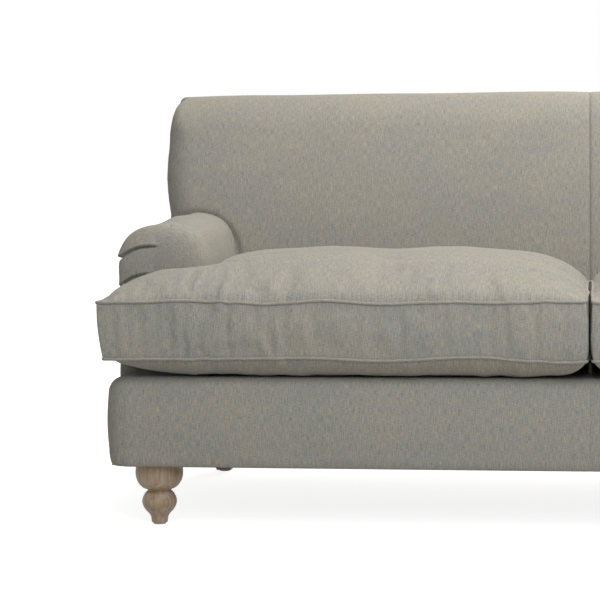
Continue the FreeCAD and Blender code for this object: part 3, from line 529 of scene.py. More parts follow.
# Reach in mm, bow and steepness of edge_rise: the top's rise from each seam, and the underside's fall.
RISE_FRONT = (330.0, 2.4, 0.58)
RISE_MIDDLE = (340.0, 3.4, 0.66)
RISE_REAR = (150.0, 2.4, 0.42)
RISE_SIDE = (170.0, 2.4, 0.163)
RISE_EAR_BACK = (45.0, 2.4, 0.1)
RISE_EAR_SIDE = (340.0, 2.8, 0.69)
FALL_SEAM = (62.0, 2.0, 0.75)
FALL_OUTER = (190.0, 1.6, 0.9)
# Number, shortest and longest length in mm of the waves in the cover.
RIPPLES = (9, 24.0, 95.0)
SLOW_WAVES = (4, 220.0, 520.0)
BOXING_CREASES = (8, 28.0, 110.0)
# Height and reach in mm of the ripples beside the front seam and beside the side ones, how soon they start,
# and the height of the slow waves on the crown.
FRONT_RIPPLE_HEIGHT, FRONT_RIPPLE_REACH = 1.5, 34.0
SIDE_RIPPLE_HEIGHT, SIDE_RIPPLE_REACH = 1.3, 30.0
RIPPLE_START = 7.0
CROWN_WAVE_HEIGHT = 0.9
# How far the underside is drawn in at the outer end, where that starts, and over what length.
OUTER_DRAW = 11.0
OUTER_DRAW_START, OUTER_DRAW_LENGTH = 880.0, 72.0
# The zip: depth of its body behind the seam, its play, how high its tape and its teeth stand, their half
# width, and the width of its rounded rim.
ZIP_DEPTH, ZIP_PLAY, ZIP_RISE = 2.0, 0.2, 1.6
ZIP_TOOTH, ZIP_TOOTH_STEP, ZIP_TEETH_HALF = 0.9, 0.5, 2.6
ZIP_RIM = 3.0
# The cloth simulation: pressure inside, frames, rounds of smoothing, the largest crease and swell in mm, and
# the share of the slow move that is kept.
CLOTH_PRESSURE = 3.0
CLOTH_FRAMES = 20
CLOTH_SMOOTHINGS = 40
CLOTH_CREASE = 2.8
CLOTH_SWELL = 8.0
CLOTH_SLOW_SHARE = 0.08


def edge_rise(distance, reach, bow, steep):
    """How far a stuffed panel has risen at a distance from its seam: (1 - (1 - d/reach)^bow)^steep."""
    t = np.clip(distance / reach, 0.0, 1.0)
    return (1.0 - (1.0 - t) ** bow) ** steep


def to_segment(x, y, ax, ay, bx, by):
    """Distance from points to a straight segment in plan."""
    dx, dy = bx - ax, by - ay
    t = np.clip(((x - ax) * dx + (y - ay) * dy) / (dx * dx + dy * dy), 0.0, 1.0)
    return np.hypot(x - ax - t * dx, y - ay - t * dy)


def ear_distances(x, y):
    """Distances from the two seams that meet in the T's inner corner: along the body, and behind the ear."""
    return (to_segment(x, y, EAR_INNER, EAR_BACK, EAR_INNER, SEAT_REAR),
            to_segment(x, y, EAR_INNER, EAR_BACK, SEAT_OUTER, EAR_BACK))


def crown_share(x, y):
    """Share of the full crown over the plan: the product of the rises from all six seams."""
    from_side, from_ear = ear_distances(x, y)
    return (
        edge_rise(y - SEAT_FRONT, *RISE_FRONT)
        * edge_rise(x - CUSHION_CENTRE + 9.0, *RISE_MIDDLE)
        * edge_rise(SEAT_REAR - y, *RISE_REAR)
        * edge_rise(from_side + 1.6 * np.maximum(EAR_BACK - y, 0.0), *RISE_SIDE)
        * edge_rise(from_ear, *RISE_EAR_BACK)
        * edge_rise(SEAT_OUTER - x, *RISE_EAR_SIDE)
    )


def seam_lines(low, corner, high):
    """Grid lines from low to high through a corner, about a step apart and closer at the seams."""
    marks = []
    for a, b in ((low, corner), (corner, high)):
        steps = max(int(round((b - a) / CUSHION_STEP)), 4)
        marks.append(a + (b - a) * closer_at_ends(steps + 1, 0.35)[:-1])
    return np.concatenate(marks + [[high]])


def loop_of(xs, ys, ix, iy):
    """Row and column numbers of the T-shaped outline, anticlockwise from the front seam at the middle."""
    nx, ny = len(xs) - 1, len(ys) - 1
    runs = [
        (np.arange(0, nx), np.zeros(nx, int)),
        (np.full(iy, nx), np.arange(0, iy)),
        (np.arange(nx, ix, -1), np.full(nx - ix, iy)),
        (np.full(ny - iy, ix), np.arange(iy, ny)),
        (np.arange(ix, 0, -1), np.full(ix, ny)),
        (np.zeros(ny, int), np.arange(ny, 0, -1)),
    ]
    return np.concatenate([r[0] for r in runs]), np.concatenate([r[1] for r in runs])


def beside_seam(distance, reach):
    """0 on a seam, highest close to it and dying out: exp(-d/reach) times (1 - exp(-d/RIPPLE_START))."""
    return np.exp(-distance / reach) * (1.0 - np.exp(-distance / RIPPLE_START))


def cushion_surfaces(sizes, seed):
    """Top and underside of one right-hand cushion, what lies outside its plan, and the loop of its seams.

    Top: upper seam height plus crown times crown_share, with small waves that die out away from the seams.
    Underside: lower seam height, falling to the flat bottom within 62 mm of the seam, and within 190 mm of
    the outer end, where it is also drawn in by 11 mm.
    """
    xs = seam_lines(CUSHION_CENTRE, EAR_INNER, SEAT_OUTER)
    ys = seam_lines(SEAT_FRONT, EAR_BACK, SEAT_REAR)
    ix, iy = int(np.argmin(abs(xs - EAR_INNER))), int(np.argmin(abs(ys - EAR_BACK)))
    x, y = np.meshgrid(xs, ys, indexing="ij")
    outside = np.zeros_like(x, bool)
    outside[ix + 1 :, iy + 1 :] = True
    share = crown_share(x, y)
    ripple_x, ripple_y = waves(seed, *RIPPLES), waves(seed + 1, *RIPPLES)
    slow_x, slow_y = waves(seed + 2, *SLOW_WAVES), waves(seed + 3, *SLOW_WAVES)
    front_d, side_d = y - SEAT_FRONT, np.minimum(x - CUSHION_CENTRE, SEAT_OUTER - x)
    front_wave = FRONT_RIPPLE_HEIGHT * beside_seam(front_d, FRONT_RIPPLE_REACH) * ripple_x(x)
    side_wave = SIDE_RIPPLE_HEIGHT * beside_seam(side_d, SIDE_RIPPLE_REACH) * ripple_y(y)
    top_wave = front_wave + side_wave
    top_wave += CROWN_WAVE_HEIGHT * share * (slow_x(x) + slow_y(y))
    seam_high = UPPER_WELT + 1.5 * slow_x(x * 1.2)
    seam_low = LOWER_WELT + 1.7 * slow_x(x * 0.9 + 400.0)
    top = np.stack([x, y, seam_high + sizes.seat_crown / MM * share + top_wave], axis=-1)
    nearest = np.minimum.reduce([
        front_d, x - CUSHION_CENTRE, SEAT_OUTER - x, SEAT_REAR - y, *ear_distances(x, y),
    ])
    fall = edge_rise(nearest, *FALL_SEAM) * edge_rise(SEAT_OUTER - x, *FALL_OUTER)
    low = seam_low + (CUSHION_BOTTOM - seam_low) * fall
    drawn_in = OUTER_DRAW * smooth((x - OUTER_DRAW_START) / OUTER_DRAW_LENGTH)
    under = np.stack([x - drawn_in, y, low + 1.5 * (1.0 - fall) * fall * ripple_x(x * 1.2 + 50.0)], axis=-1)
    return outside, top, under, loop_of(xs, ys, ix, iy)


def outward_of(ring):
    """Unit outward directions in plan along a closed anticlockwise loop."""
    ahead = np.roll(ring, -1, axis=0) - np.roll(ring, 1, axis=0)
    out = np.stack([ahead[:, 1], -ahead[:, 0], np.zeros(len(ring))], axis=-1)
    return out / np.linalg.norm(out, axis=-1, keepdims=True)


def grid_cells(outside, turned):
    """Faces of the grid cells whose four corners are all inside the plan."""
    cells = cells_of(np.arange(outside.size).reshape(outside.shape))
    kept = ~outside.ravel()[cells].any(axis=1)
    return cells[kept][:, ::-1] if turned else cells[kept]


def cushion_mesh(name, sizes, seed, sign):
    """The closed cushion cover, and the vertex numbers of its upper and lower seam.

    Boxing: the outline carried from the lower seam to the upper one, bowed outwards by a half sine that the
    creases along the outline make uneven. Its uv runs round the outline and up.
    """
    outside, top, under, (ring_x, ring_y) = cushion_surfaces(sizes, seed)
    high, low = top[ring_x, ring_y], under[ring_x, ring_y]
    run = lengths(high[:, :2])
    t = np.linspace(0.0, 1.0, BOXING_ROWS)[:, None, None]
    clear = np.where(high[:, 1] < SEAT_FRONT + 1.0, 1.0, 0.35)
    crease = waves(seed + 5, *BOXING_CREASES)(run)
    bow = (sizes.boxing_bulge / MM * clear + 0.8 * crease)[None, :, None] * np.sin(math.pi * t) ** 0.8
    box = low + (high - low) * t + outward_of(high) * bow
    n = outside.size
    ring = ring_x * outside.shape[1] + ring_y
    count = len(ring)
    inner = box[1:-1].reshape(-1, 3)
    points = np.concatenate([top.reshape(-1, 3), under.reshape(-1, 3), inner])
    between = np.arange(len(inner)).reshape(BOXING_ROWS - 2, count) + 2 * n
    strip = np.concatenate([[ring + n], between, [ring]])
    ahead = np.roll(strip, -1, axis=1)
    sides = np.stack([strip[:-1], ahead[:-1], ahead[1:], strip[1:]], axis=-1).reshape(-1, 4)
    upper, lower = grid_cells(outside, False), grid_cells(outside, True) + n
    faces = np.concatenate([upper, lower, sides])
    flat = points[:, :2] * MM
    far = np.append(run, run[-1] + np.linalg.norm(high[-1, :2] - high[0, :2])) * MM
    rise = np.linspace(LOWER_WELT, UPPER_WELT, BOXING_ROWS)[:, None] * MM
    uv = np.stack(np.broadcast_arrays(far, rise), axis=-1)
    side_uv = np.stack([uv[:-1, :-1], uv[:-1, 1:], uv[1:, 1:], uv[1:, :-1]], axis=2).reshape(-1, 2)
    uv = np.concatenate([flat[upper.ravel()], flat[lower.ravel()], side_uv])
    if sign < 0:
        points = points * MIRROR
        faces = faces[:, ::-1]
        uv = uv.reshape(-1, 4, 2)[:, ::-1].reshape(-1, 2) * MIRROR[:2]
    used, numbered = np.unique(faces, return_inverse=True)
    where = np.full(len(points), -1)
    where[used] = np.arange(len(used))
    mesh = new_mesh(name, points[used] * MM, numbered.reshape(faces.shape), uv)
    shade_smooth(mesh)
    return mesh, where[ring], where[ring + n]


def tube(path, radius, sides=10):
    """A closed tube round a closed path: each point plus radius times (out cos a + up sin a)."""
    ahead = np.roll(path, -1, axis=0) - np.roll(path, 1, axis=0)
    ahead /= np.linalg.norm(ahead, axis=-1, keepdims=True)
    out = np.cross(ahead, np.array([0.0, 0.0, 1.0]))
    out /= np.linalg.norm(out, axis=-1, keepdims=True)
    up = np.cross(out, ahead)
    angle = np.linspace(0.0, 2.0 * math.pi, sides + 1)[None, :, None]
    points = path[:, None] + radius * (out[:, None] * np.cos(angle) + up[:, None] * np.sin(angle))
    points = np.concatenate([points, points[:1]])
    run = lengths(np.concatenate([path, path[:1]]))
    uv = np.stack(np.broadcast_arrays(run[:, None] * MM, angle[0, :, 0][None] * radius * MM), axis=-1)
    return points, uv


def vertex_places(mesh):
    """The places of a mesh's vertices as an array, in metres."""
    places = np.zeros(len(mesh.vertices) * 3, np.float32)
    mesh.vertices.foreach_get("co", places)
    return places.reshape(-1, 3).astype(float)


def seam_path(mesh, ring, lift):
    """The seam's own line in mm: the loop's vertices, eased at the corners and set out by a little."""
    path = vertex_places(mesh)[ring] / MM
    for _ in range(2):
        path = (np.roll(path, 1, axis=0) + 2.0 * path + np.roll(path, -1, axis=0)) / 4.0
    out = outward_of(path)
    middle = path[:, :2].mean(axis=0)
    if ((path[:, :2] - middle) * out[:, :2]).sum() < 0.0:
        out = -out
    return path + out * lift


def neighbour_mean(values, edges):
    """The mean of a value over each vertex and the vertices that its edges lead to."""
    total, count = values.copy(), np.ones(len(values))
    for a, b in ((edges[:, 0], edges[:, 1]), (edges[:, 1], edges[:, 0])):
        for axis in range(values.shape[1]):
            total[:, axis] += np.bincount(a, values[b, axis], len(values))
        count += np.bincount(a, minlength=len(values))
    return total / count[:, None]


def held_to(move, limit):
    """Moves in metres, cut down to a limit in mm where they are longer."""
    return move * np.minimum(1.0, limit * MM / np.maximum(np.linalg.norm(move, axis=1, keepdims=True), 1e-9))


def settle_cushion(made, upper, lower, sizes):
    """Simulates the sewn cover as cloth blown up from inside, and keeps the creases that form.

    The cords of the seams are a little shorter than the panels sewn to them, which puckers the panels. Of
    each vertex's move d the slow part m, the mean of d over its neighbours taken again and again, is kept
    by CLOTH_SLOW_SHARE and the rest as it is. What would leave the cushion's place is held at its limits.
    """
    scene = bpy.context.scene
    mesh = made.data
    start = vertex_places(mesh)
    edges = np.zeros(len(mesh.edges) * 2, np.int32)
    mesh.edges.foreach_get("vertices", edges)
    edges = edges.reshape(-1, 2)
    seam = made.vertex_groups.new(name="seam")
    seam.add(np.concatenate([upper, lower]).tolist(), 1.0, "REPLACE")
    cloth = made.modifiers.new("Cloth", "CLOTH")
    rule = cloth.settings
    rule.quality = 4
    rule.mass = 0.3
    rule.tension_stiffness = rule.compression_stiffness = 25.0
    rule.shear_stiffness = 8.0
    rule.bending_stiffness = 0.3
    rule.use_pressure = True
    rule.uniform_pressure_force = CLOTH_PRESSURE
    rule.vertex_group_shrink = seam.name
    rule.shrink_min = -sizes.seam_gather * 0.5
    rule.shrink_max = sizes.seam_gather
    rule.effector_weights.gravity = 0.0
    cloth.collision_settings.use_collision = False
    cloth.point_cache.frame_start, cloth.point_cache.frame_end = 1, CLOTH_FRAMES
    for frame_number in range(1, CLOTH_FRAMES + 1):
        scene.frame_set(frame_number)
    settled = vertex_places(made.evaluated_get(bpy.context.evaluated_depsgraph_get()).data)
    made.modifiers.remove(cloth)
    scene.frame_set(1)
    move = settled - start
    slow = move
    for _ in range(CLOTH_SMOOTHINGS):
        slow = neighbour_mean(slow, edges)
    place = (start + held_to(move - slow, CLOTH_CREASE) + held_to(slow, CLOTH_SWELL) * CLOTH_SLOW_SHARE) / MM
    # The limits leave the other cushion, the arm and the back free, and keep to the platform's height.
    side = np.sign(place[:, 0].mean())
    x = np.maximum(place[:, 0] * side, CUSHION_CENTRE / 2.0)
    x = np.where(place[:, 1] > EAR_BACK - 1.0, np.minimum(x, EAR_INNER + 2.0), x)
    y = np.clip(place[:, 1], SEAT_FRONT - 6.0, SEAT_REAR + 1.0)
    place = np.stack([x * side, y, np.maximum(place[:, 2], CUSHION_BOTTOM - 0.5)], axis=-1)
    mesh.vertices.foreach_set("co", (place * MM).astype(np.float32).ravel())
    mesh.update()
    made.vertex_groups.clear()


def zip_piece(side, body):
    """The zip in the rear boxing: a shallow band with a raised row of teeth along its middle."""
    low, high = bottom_of("cushion_zip_" + side), top_of("cushion_zip_" + side)
    x, z = np.linspace(low[0], high[0], 281), np.linspace(low[2], high[2], 15)
    gx, gz = np.meshgrid(x, z, indexing="ij")
    tooth = ZIP_TOOTH + ZIP_TOOTH_STEP * (np.arange(len(x)) % 2)[:, None]
    teeth = bell(gz - (z[0] + z[-1]) / 2, ZIP_TEETH_HALF) * tooth
    rim = smooth((gz - z[0]) / ZIP_RIM) * smooth((z[-1] - gz) / ZIP_RIM)
    rim = rim * smooth((gx - x[0]) / ZIP_RIM) * smooth((x[-1] - gx) / ZIP_RIM)
    face = np.stack([gx, SEAT_REAR + ZIP_PLAY + ZIP_RISE * rim + teeth * rim, gz], axis=-1)
    back = face.copy()
    back[..., 1] = SEAT_REAR - ZIP_DEPTH
    patches = slab_patches(face, back, np.stack([gx, gz], axis=-1) * MM, turned=True)
    piece("cushion_zip_strip_" + side, patches, body, "zip_plastic", replaces=["cushion_zip_" + side])


class SOFA_OT_seat_cushions(bpy.types.Operator):
    """Makes the two boxed T cushions with their piping and zips"""

    bl_idname = "sofa.seat_cushions"
    bl_label = "Seat cushions"

    def execute(self, context):
        sizes = context.scene.sofa_sizes
        for side, sign in SIDES:
            name, body = "seat_cushion_" + side, "cushion_" + side
            mesh, upper, lower = cushion_mesh(name, sizes, 20 if sign < 0 else 60, sign)
            made = bpy.data.objects.new(name, mesh)
            context.scene.collection.objects.link(made)
            mesh.materials.append(finish_of("linen"))
            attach(made, body)
            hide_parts("cushion_cover_" + side, "cushion_core_" + side)
            settle_cushion(made, upper, lower, sizes)
            subdivide(made)
            for level, ring in (("upper", upper), ("lower", lower)):
                path = seam_path(mesh, ring, 0.6)
                if sign < 0:
                    path = path[::-1]
                piece(
                    f"cushion_piping_{level}_{side}", [(*tube(path, sizes.piping_radius / MM), False)], body,
                    "linen", replaces=["cushion_welts_" + side] if level == "upper" else (), weld=0.05,
                )
            zip_piece(side, body)
        return {"FINISHED"}


# Back, in mm: its upright face, the arc that leans back from it (radius, and its turn in radians), the roll
# at the top (middle and radius), the arc of the outside, its lower edge, the half width that covers the
# posts, and the rows and columns of its grids.

BACK_FACE_Y = 85.0
FACE_START_Z = 405.0
FACE_RADIUS = 836.46
LEAN = 0.47177
ROLL_Y = 310.0
ROLL_Z = 717.0
ROLL_RADIUS = 150.0
OUTSIDE_RADIUS = 2413.6
BACK_BOTTOM = 262.0
POST_COVER = 932.0
BACK_ROWS = 150
BACK_COLUMNS = 150
# How far the outer ends are rounded inside, outside and at the top.
END_INSIDE = 62.0
END_OUTSIDE = 24.0
END_TOP = 15.0
# Heights, and half the back's width at each.
BACK_HEIGHTS = (250.0, 500.0, 604.0, 651.0, 700.0, 750.0, 805.0, 832.0, 850.0, 867.0)
BACK_HALF_WIDTHS = (915.0, 915.0, 925.0, 934.0, 940.0, 941.0, 938.0, 934.0, 930.0, 924.0)
# Depth of the hollow at the middle and how fast it dies out, half width of the seam in it, depth of the fall
# to the outer end with its start and length, and the groove round the arm: depth, place and half width.
MIDDLE_HOLLOW, HOLLOW_REACH, BACK_SEAM_HALF = 4.0, 70.0, 3.5
END_FALL, END_FALL_START, END_FALL_LENGTH = 6.0, 760.0, 190.0
GROOVE_DEPTH, GROOVE_PLACE, GROOVE_HALF = 9.0, 5.0, 8.0
# How much of these depths the outside has, and how far the outer end swells out halfway to it.
OUTSIDE_DRAWN = 0.4
END_SWELL = 5.0
# Where the count of the distance up the outside starts, for its waves and its weave.
OUTSIDE_START = 0.3


def even_line(line, n):
    """n points evenly along a polyline, their normals to the left of its run, and the distance run."""
    run = lengths(line)
    at = np.linspace(0.0, run[-1], n)
    points = np.stack([np.interp(at, run, line[:, 0]), np.interp(at, run, line[:, 1])], axis=-1)
    ahead = np.gradient(points, axis=0)
    ahead /= np.linalg.norm(ahead, axis=-1, keepdims=True)
    return points, np.stack([-ahead[:, 1], ahead[:, 0]], axis=-1), at


def back_front_line(n):
    """Points and unit normals (y, z) up the inside of the back to its crest, with the distance run.

    Upright, then an arc that leans back, then the circle of the roll up to its top.
    """
    a = np.stack([np.full(40, BACK_FACE_Y), np.linspace(BACK_BOTTOM, FACE_START_Z, 40)], axis=-1)
    t = np.linspace(0.0, LEAN, 80)[1:]
    centre = BACK_FACE_Y + FACE_RADIUS
    b = np.stack([centre - FACE_RADIUS * np.cos(t), FACE_START_Z + FACE_RADIUS * np.sin(t)], axis=-1)
    t = np.linspace(LEAN, math.pi / 2, 60)[1:]
    c = np.stack([ROLL_Y - ROLL_RADIUS * np.cos(t), ROLL_Z + ROLL_RADIUS * np.sin(t)], axis=-1)
    return even_line(np.concatenate([a, b, c]), n)


def back_rear_line(n):
    """Points and unit normals (y, z) up the outside of the back to its crest: a wide arc, then the roll."""
    t = np.linspace(math.asin((ROLL_Z - BASE_BOTTOM) / OUTSIDE_RADIUS), 0.0, 60)
    outermost = ROLL_Y + ROLL_RADIUS
    a = np.stack([outermost - OUTSIDE_RADIUS * (1.0 - np.cos(t)), ROLL_Z - OUTSIDE_RADIUS * np.sin(t)], axis=-1)
    t = np.linspace(0.0, math.pi / 2, 60)[1:]
    b = np.stack([ROLL_Y + ROLL_RADIUS * np.cos(t), ROLL_Z + ROLL_RADIUS * np.sin(t)], axis=-1)
    line = np.concatenate([a, b])
    points, normals, run = even_line(line[line[:, 1] >= BACK_BOTTOM - 12.0], n)
    return points, -normals, run


def rear_y_at(z):
    """Where the outside of the back lies at a height."""
    return ROLL_Y + ROLL_RADIUS - OUTSIDE_RADIUS * (1.0 - np.cos(np.arcsin((ROLL_Z - z) / OUTSIDE_RADIUS)))


def back_half_width(z):
    """Half the back's width at a height: narrow at the arms, widest in the middle, drawn in at the top."""
    return np.interp(z, BACK_HEIGHTS, BACK_HALF_WIDTHS)


def across_back(line, out, radius, run, half, seam, drawn):
    """One face of the right half of the back: the profile moved across, rounded at its end, with its uv.

    From the profile the face is moved in by the end's rounding and by drawn times its depths, and out by
    slow waves. The depths are the hollow and the seam at the middle, the fall to the outer end, and the
    groove where the arm meets the back.
    """
    flat = closer_at_start(BACK_COLUMNS, 0.12, 0.55)
    turn = np.linspace(0.0, math.pi / 2, 9)[1:]
    inner, radius = (half - radius)[:, None], radius[:, None]
    x = np.concatenate([inner * flat[None], inner + radius * np.sin(turn)], axis=1)
    inset = np.concatenate([np.zeros((BACK_ROWS, len(flat))), radius * (1.0 - np.cos(turn))], axis=1)
    depth = MIDDLE_HOLLOW * np.exp(-x / HOLLOW_REACH) + seam * bell(x, BACK_SEAM_HALF)
    depth = depth + END_FALL * smooth((x - END_FALL_START) / END_FALL_LENGTH)
    from_arm = np.hypot(x - ARM_AXIS_X, np.maximum(line[:, None, 1] - ARM_AXIS_Z, 0.0)) - ARM_HALF
    depth = (depth + GROOVE_DEPTH * bell(from_arm - GROOVE_PLACE, GROOVE_HALF)) * drawn
    up = np.broadcast_to(run[:, None], x.shape)
    slow = waves(7, 4, 260.0, 620.0)(x) * 0.9 + waves(9, 4, 240.0, 520.0)(up) * 0.7
    move = -inset - depth + slow * smooth(x / 60.0) * 0.8
    points = np.stack([x, line[:, None, 0] + out[:, None, 0] * move, line[:, None, 1] + out[:, None, 1] * move],
                      axis=-1)
    return points, np.stack([lengths(points) * MM, up * MM], axis=-1)


def back_patches(sizes):
    """The right half of the back as sewn grids: inside and top, outer end, rear, and the two closing ones.

    The end is ruled between the inside and the rear, and swells out by 5 mm halfway between them.
    """
    front, front_out, run_f = back_front_line(BACK_ROWS)
    rear, rear_out, run_r = back_rear_line(BACK_ROWS)
    top_share = smooth((front[:, 1] - 760.0) / 100.0)
    half_front = back_half_width(front[:, 1])
    seam = sizes.seam_depth / MM
    inside, inside_uv = across_back(front, front_out, END_INSIDE + (END_TOP - END_INSIDE) * top_share, run_f,
                                    half_front, seam, 1.0)
    outside, outside_uv = across_back(rear, rear_out, END_OUTSIDE + (END_TOP - END_OUTSIDE) * top_share,
                                      run_r + OUTSIDE_START, np.maximum(half_front, POST_COVER), seam,
                                      OUTSIDE_DRAWN)
    outside[-1] = inside[-1]
    t = np.linspace(0.0, 1.0, 30)[None, :, None]
    span = outside[:, -1:, :] - inside[:, -1:, :]
    end = inside[:, -1:, :] + span * t
    end[..., 0] = inside[:, -1:, 0] + span[..., 0] * smooth(t[..., 0] / 0.1)
    below_crest = np.clip((run_f[-1] - run_f) / 200.0, 0.0, 1.0)[:, None]
    end[..., 0] += END_SWELL * np.sin(math.pi * t[..., 0]) * below_crest
    end_uv = np.stack([inside_uv[:, -1:, 0] + lengths(end) * MM, end[..., 2] * MM], axis=-1)
    middle = inside[:, :1, :] + (outside[:, :1, :] - inside[:, :1, :]) * t
    base = inside[0][:, None, :] + (outside[0] - inside[0])[:, None, :] * t
    return [
        (inside, inside_uv, True),
        (end, end_uv, True),
        (outside, outside_uv, False),
        (middle, middle[..., 1:] * MM, False),
        (base, base[..., :2] * MM, True),
    ]


class SOFA_OT_back(bpy.types.Operator):
    """Makes the two sewn halves of the back"""

    bl_idname = "sofa.back"
    bl_label = "Back"

    def execute(self, context):
        for side, sign in SIDES:
            made = piece(
                "back_upholstery_" + side, mirrored(back_patches(context.scene.sofa_sizes), sign), "sofa",
                "linen", replaces=["back_cover_" + side, "back_pad"],
            )
        return {"FINISHED"}


# Arms, in mm: the axis of the roll and its half width, the front, the tail in the back, the lower edge, the
# height of the roll, and the grid's rings over the front and its steps along the arm.

ARM_AXIS_X = 857.5
ARM_AXIS_Z = 509.5
ARM_HALF = 87.5
ARM_FRONT = -275.0
ARM_TAIL = 191.0
ARM_BOTTOM = 262.0
ARM_ROLL_HEIGHT = 79.5
ARM_RINGS = 60
ARM_STEPS = 54
# The roll is a little squarer than a circle, and the front a little flatter than a dome.
ARM_ROLL_POWER = 2.35
DOME_POWER = 2.7
# How far the front stands forward of its rim at the outer side, and how much more at the inner one.
FRONT_DEPTH, FRONT_DEPTH_MORE = 14.0, 32.0
# How much the roll grows behind its front, where that starts and over what length, and how much wider the
# arm gets.
ROLL_GROWTH, GROWTH_START, GROWTH_LENGTH = 13.5, -204.0, 84.0
ARM_WIDENING = 2.0
# The collar where the arm meets the back: height, place and half width of its ridge, then of its groove.
COLLAR_RIDGE = (3.6, 17.0, 8.0)
COLLAR_GROOVE = (9.0, 2.0, 6.0)
# Depth of the step that draws the flank in under the roll.
FLANK_STEP = 5.0
# A pleat, as shares of its depth and in mm: bow, lap and its reach, tuck and its reach, then the groove's
# depth, place and half width.
PLEAT_BOW = 9.0
PLEAT_LAP, LAP_REACH = 0.7, 16.0
PLEAT_TUCK, TUCK_REACH = 0.6, 7.0
PLEAT_GROOVE, PLEAT_GROOVE_PLACE, PLEAT_GROOVE_HALF = 1.3, 1.6, 1.9
# Outer end, inner end and reach of each pleat on the arm's front, as (x, z) in mm.
PLEATS = (
    ((893.0, 592.0), (838.0, 586.0), 0.5),
    ((946.0, 521.0), (866.0, 546.0), 1.0),
    ((946.0, 463.0), (872.0, 489.0), 0.9),
)
BACK_LINE_Y, BACK_LINE_Z = back_front_line(200)[0].T


def pleat_moves(x, y, z, depth):
    """How far the pleats move the front of the arm: each a lap above its fold, a tuck and a groove below it."""
    move = np.zeros_like(x)
    for (ax, az), (bx, bz), power in PLEATS:
        dx, dz = bx - ax, bz - az
        size = math.hypot(dx, dz)
        along = ((x - ax) * dx + (z - az) * dz) / size**2
        curve = PLEAT_BOW * np.sin(math.pi * np.clip(along, 0.0, 1.0))
        off = ((x - ax) * dz - (z - az) * dx) / size - curve
        fade = smooth((1.08 - along) / 0.22) * smooth((along + 0.5) / 0.4)
        fade *= smooth((ARM_FRONT + 78.0 - y) / 24.0)
        above = smooth((off + 1.2) / 2.4)
        lap = above * PLEAT_LAP * np.exp(-np.clip(off, 0.0, None) / LAP_REACH)
        tuck = -(1.0 - above) * PLEAT_TUCK * np.exp(np.clip(off, None, 0.0) / TUCK_REACH)
        groove = -PLEAT_GROOVE * bell(off + PLEAT_GROOVE_PLACE, PLEAT_GROOVE_HALF)
        move += power * depth * fade * (lap + tuck + groove)
    return move


def arm_patches(sizes):
    """The right arm: an upright slab with a half-round roll, closed over its front by a shallow dome.

    A point is the arm's middle line plus r times (cos a, sin a), where r goes from 0 on the ridge of the
    front to 1 at its rim by the curve 1 - (1 - r^n)^(1/n), and stays 1 along the arm. Behind its front the
    roll grows by 13.5 mm. Pleats, ripples, the collar at the back and the flank's step move it along its
    normals.
    """
    z_low = np.linspace(ARM_BOTTOM, ARM_AXIS_Z, 84)[:-1]
    angle = np.linspace(0.0, math.pi, 112)
    mid_z = np.concatenate([z_low, np.full(len(angle), ARM_AXIS_Z), z_low[::-1]])
    way = np.concatenate([np.zeros(len(z_low)), angle, np.full(len(z_low), math.pi)])
    r = np.concatenate([np.sin(np.linspace(0.0, math.pi / 2, ARM_RINGS)) ** 0.9, np.ones(ARM_STEPS)])
    cos, sin = np.cos(way), np.sin(way)
    fuller = (np.abs(cos) ** ARM_ROLL_POWER + np.abs(sin) ** ARM_ROLL_POWER) ** (-1.0 / ARM_ROLL_POWER)
    cos, sin = cos * fuller, sin * fuller
    reach = (FRONT_DEPTH + FRONT_DEPTH_MORE * ((1.0 + cos) / 2.0) ** 0.8)[:, None]
    flat = np.clip(r[None, :ARM_RINGS], 0.0, 1.0) ** DOME_POWER
    dome = ARM_FRONT + reach * (1.0 - (1.0 - flat) ** (1.0 / DOME_POWER))
    rim = ARM_FRONT + reach
    y = np.concatenate([dome, rim + (ARM_TAIL - rim) * np.linspace(0.0, 1.0, ARM_STEPS + 1)[None, 1:]], axis=1)
    grow = smooth((y - GROWTH_START) / GROWTH_LENGTH)
    wide = ARM_HALF + ARM_WIDENING * smooth((y + 235.0) / 270.0)
    x = ARM_AXIS_X - r[None] * wide * cos[:, None]
    rise = ARM_ROLL_HEIGHT + ROLL_GROWTH * grow * smooth((892.0 - x) / 40.0)
    z = mid_z[:, None] + r[None] * rise * sin[:, None]
    points = np.stack([x, y, z], axis=-1)
    normal = grid_normals(points)
    toward = points - np.stack([np.full_like(x, ARM_AXIS_X), y + 40.0, np.minimum(z, ARM_AXIS_Z)], axis=-1)
    normal *= np.sign((normal * toward).sum(axis=-1, keepdims=True))
    move = pleat_moves(x, y, z, sizes.pleat_depth / MM)
    move += 0.6 * waves(31, 5, 60.0, 160.0)(z + 0.4 * x) * np.clip(r[None] ** 2, 0.0, 1.0)
    to_back = y - np.interp(z, BACK_LINE_Z, BACK_LINE_Y)
    height, place, half = COLLAR_RIDGE
    collar = height * bell(to_back + place, half)
    height, place, half = COLLAR_GROOVE
    collar = collar - height * bell(to_back + place, half)
    move += collar * smooth((925.0 - x) / 25.0)
    move -= FLANK_STEP * smooth((x - 915.0) / 10.0) * smooth((503.0 - z) / 9.0) * smooth((y + 236.0) / 12.0)
    points = points + normal * move[..., None]
    around = lengths(np.stack([-ARM_HALF * cos, mid_z + ARM_HALF * sin], axis=-1))
    along = lengths(points[60])
    uv = np.stack(np.broadcast_arrays(along[None] * MM, around[:, None] * MM), axis=-1)
    base = points[0][None] + (points[-1] - points[0])[None] * np.linspace(0.0, 1.0, 12)[:, None, None]
    core = np.stack(np.broadcast_arrays(ARM_AXIS_X, ARM_TAIL, mid_z), axis=-1)
    tail = core[:, None] + (points[:, -1] - core)[:, None] * np.linspace(1.0, 0.0, 8)[None, :, None]
    return [
        (points, uv, False),
        (tail, tail[..., [0, 2]] * MM, False),
        (base, base[..., :2] * MM, False),
    ]


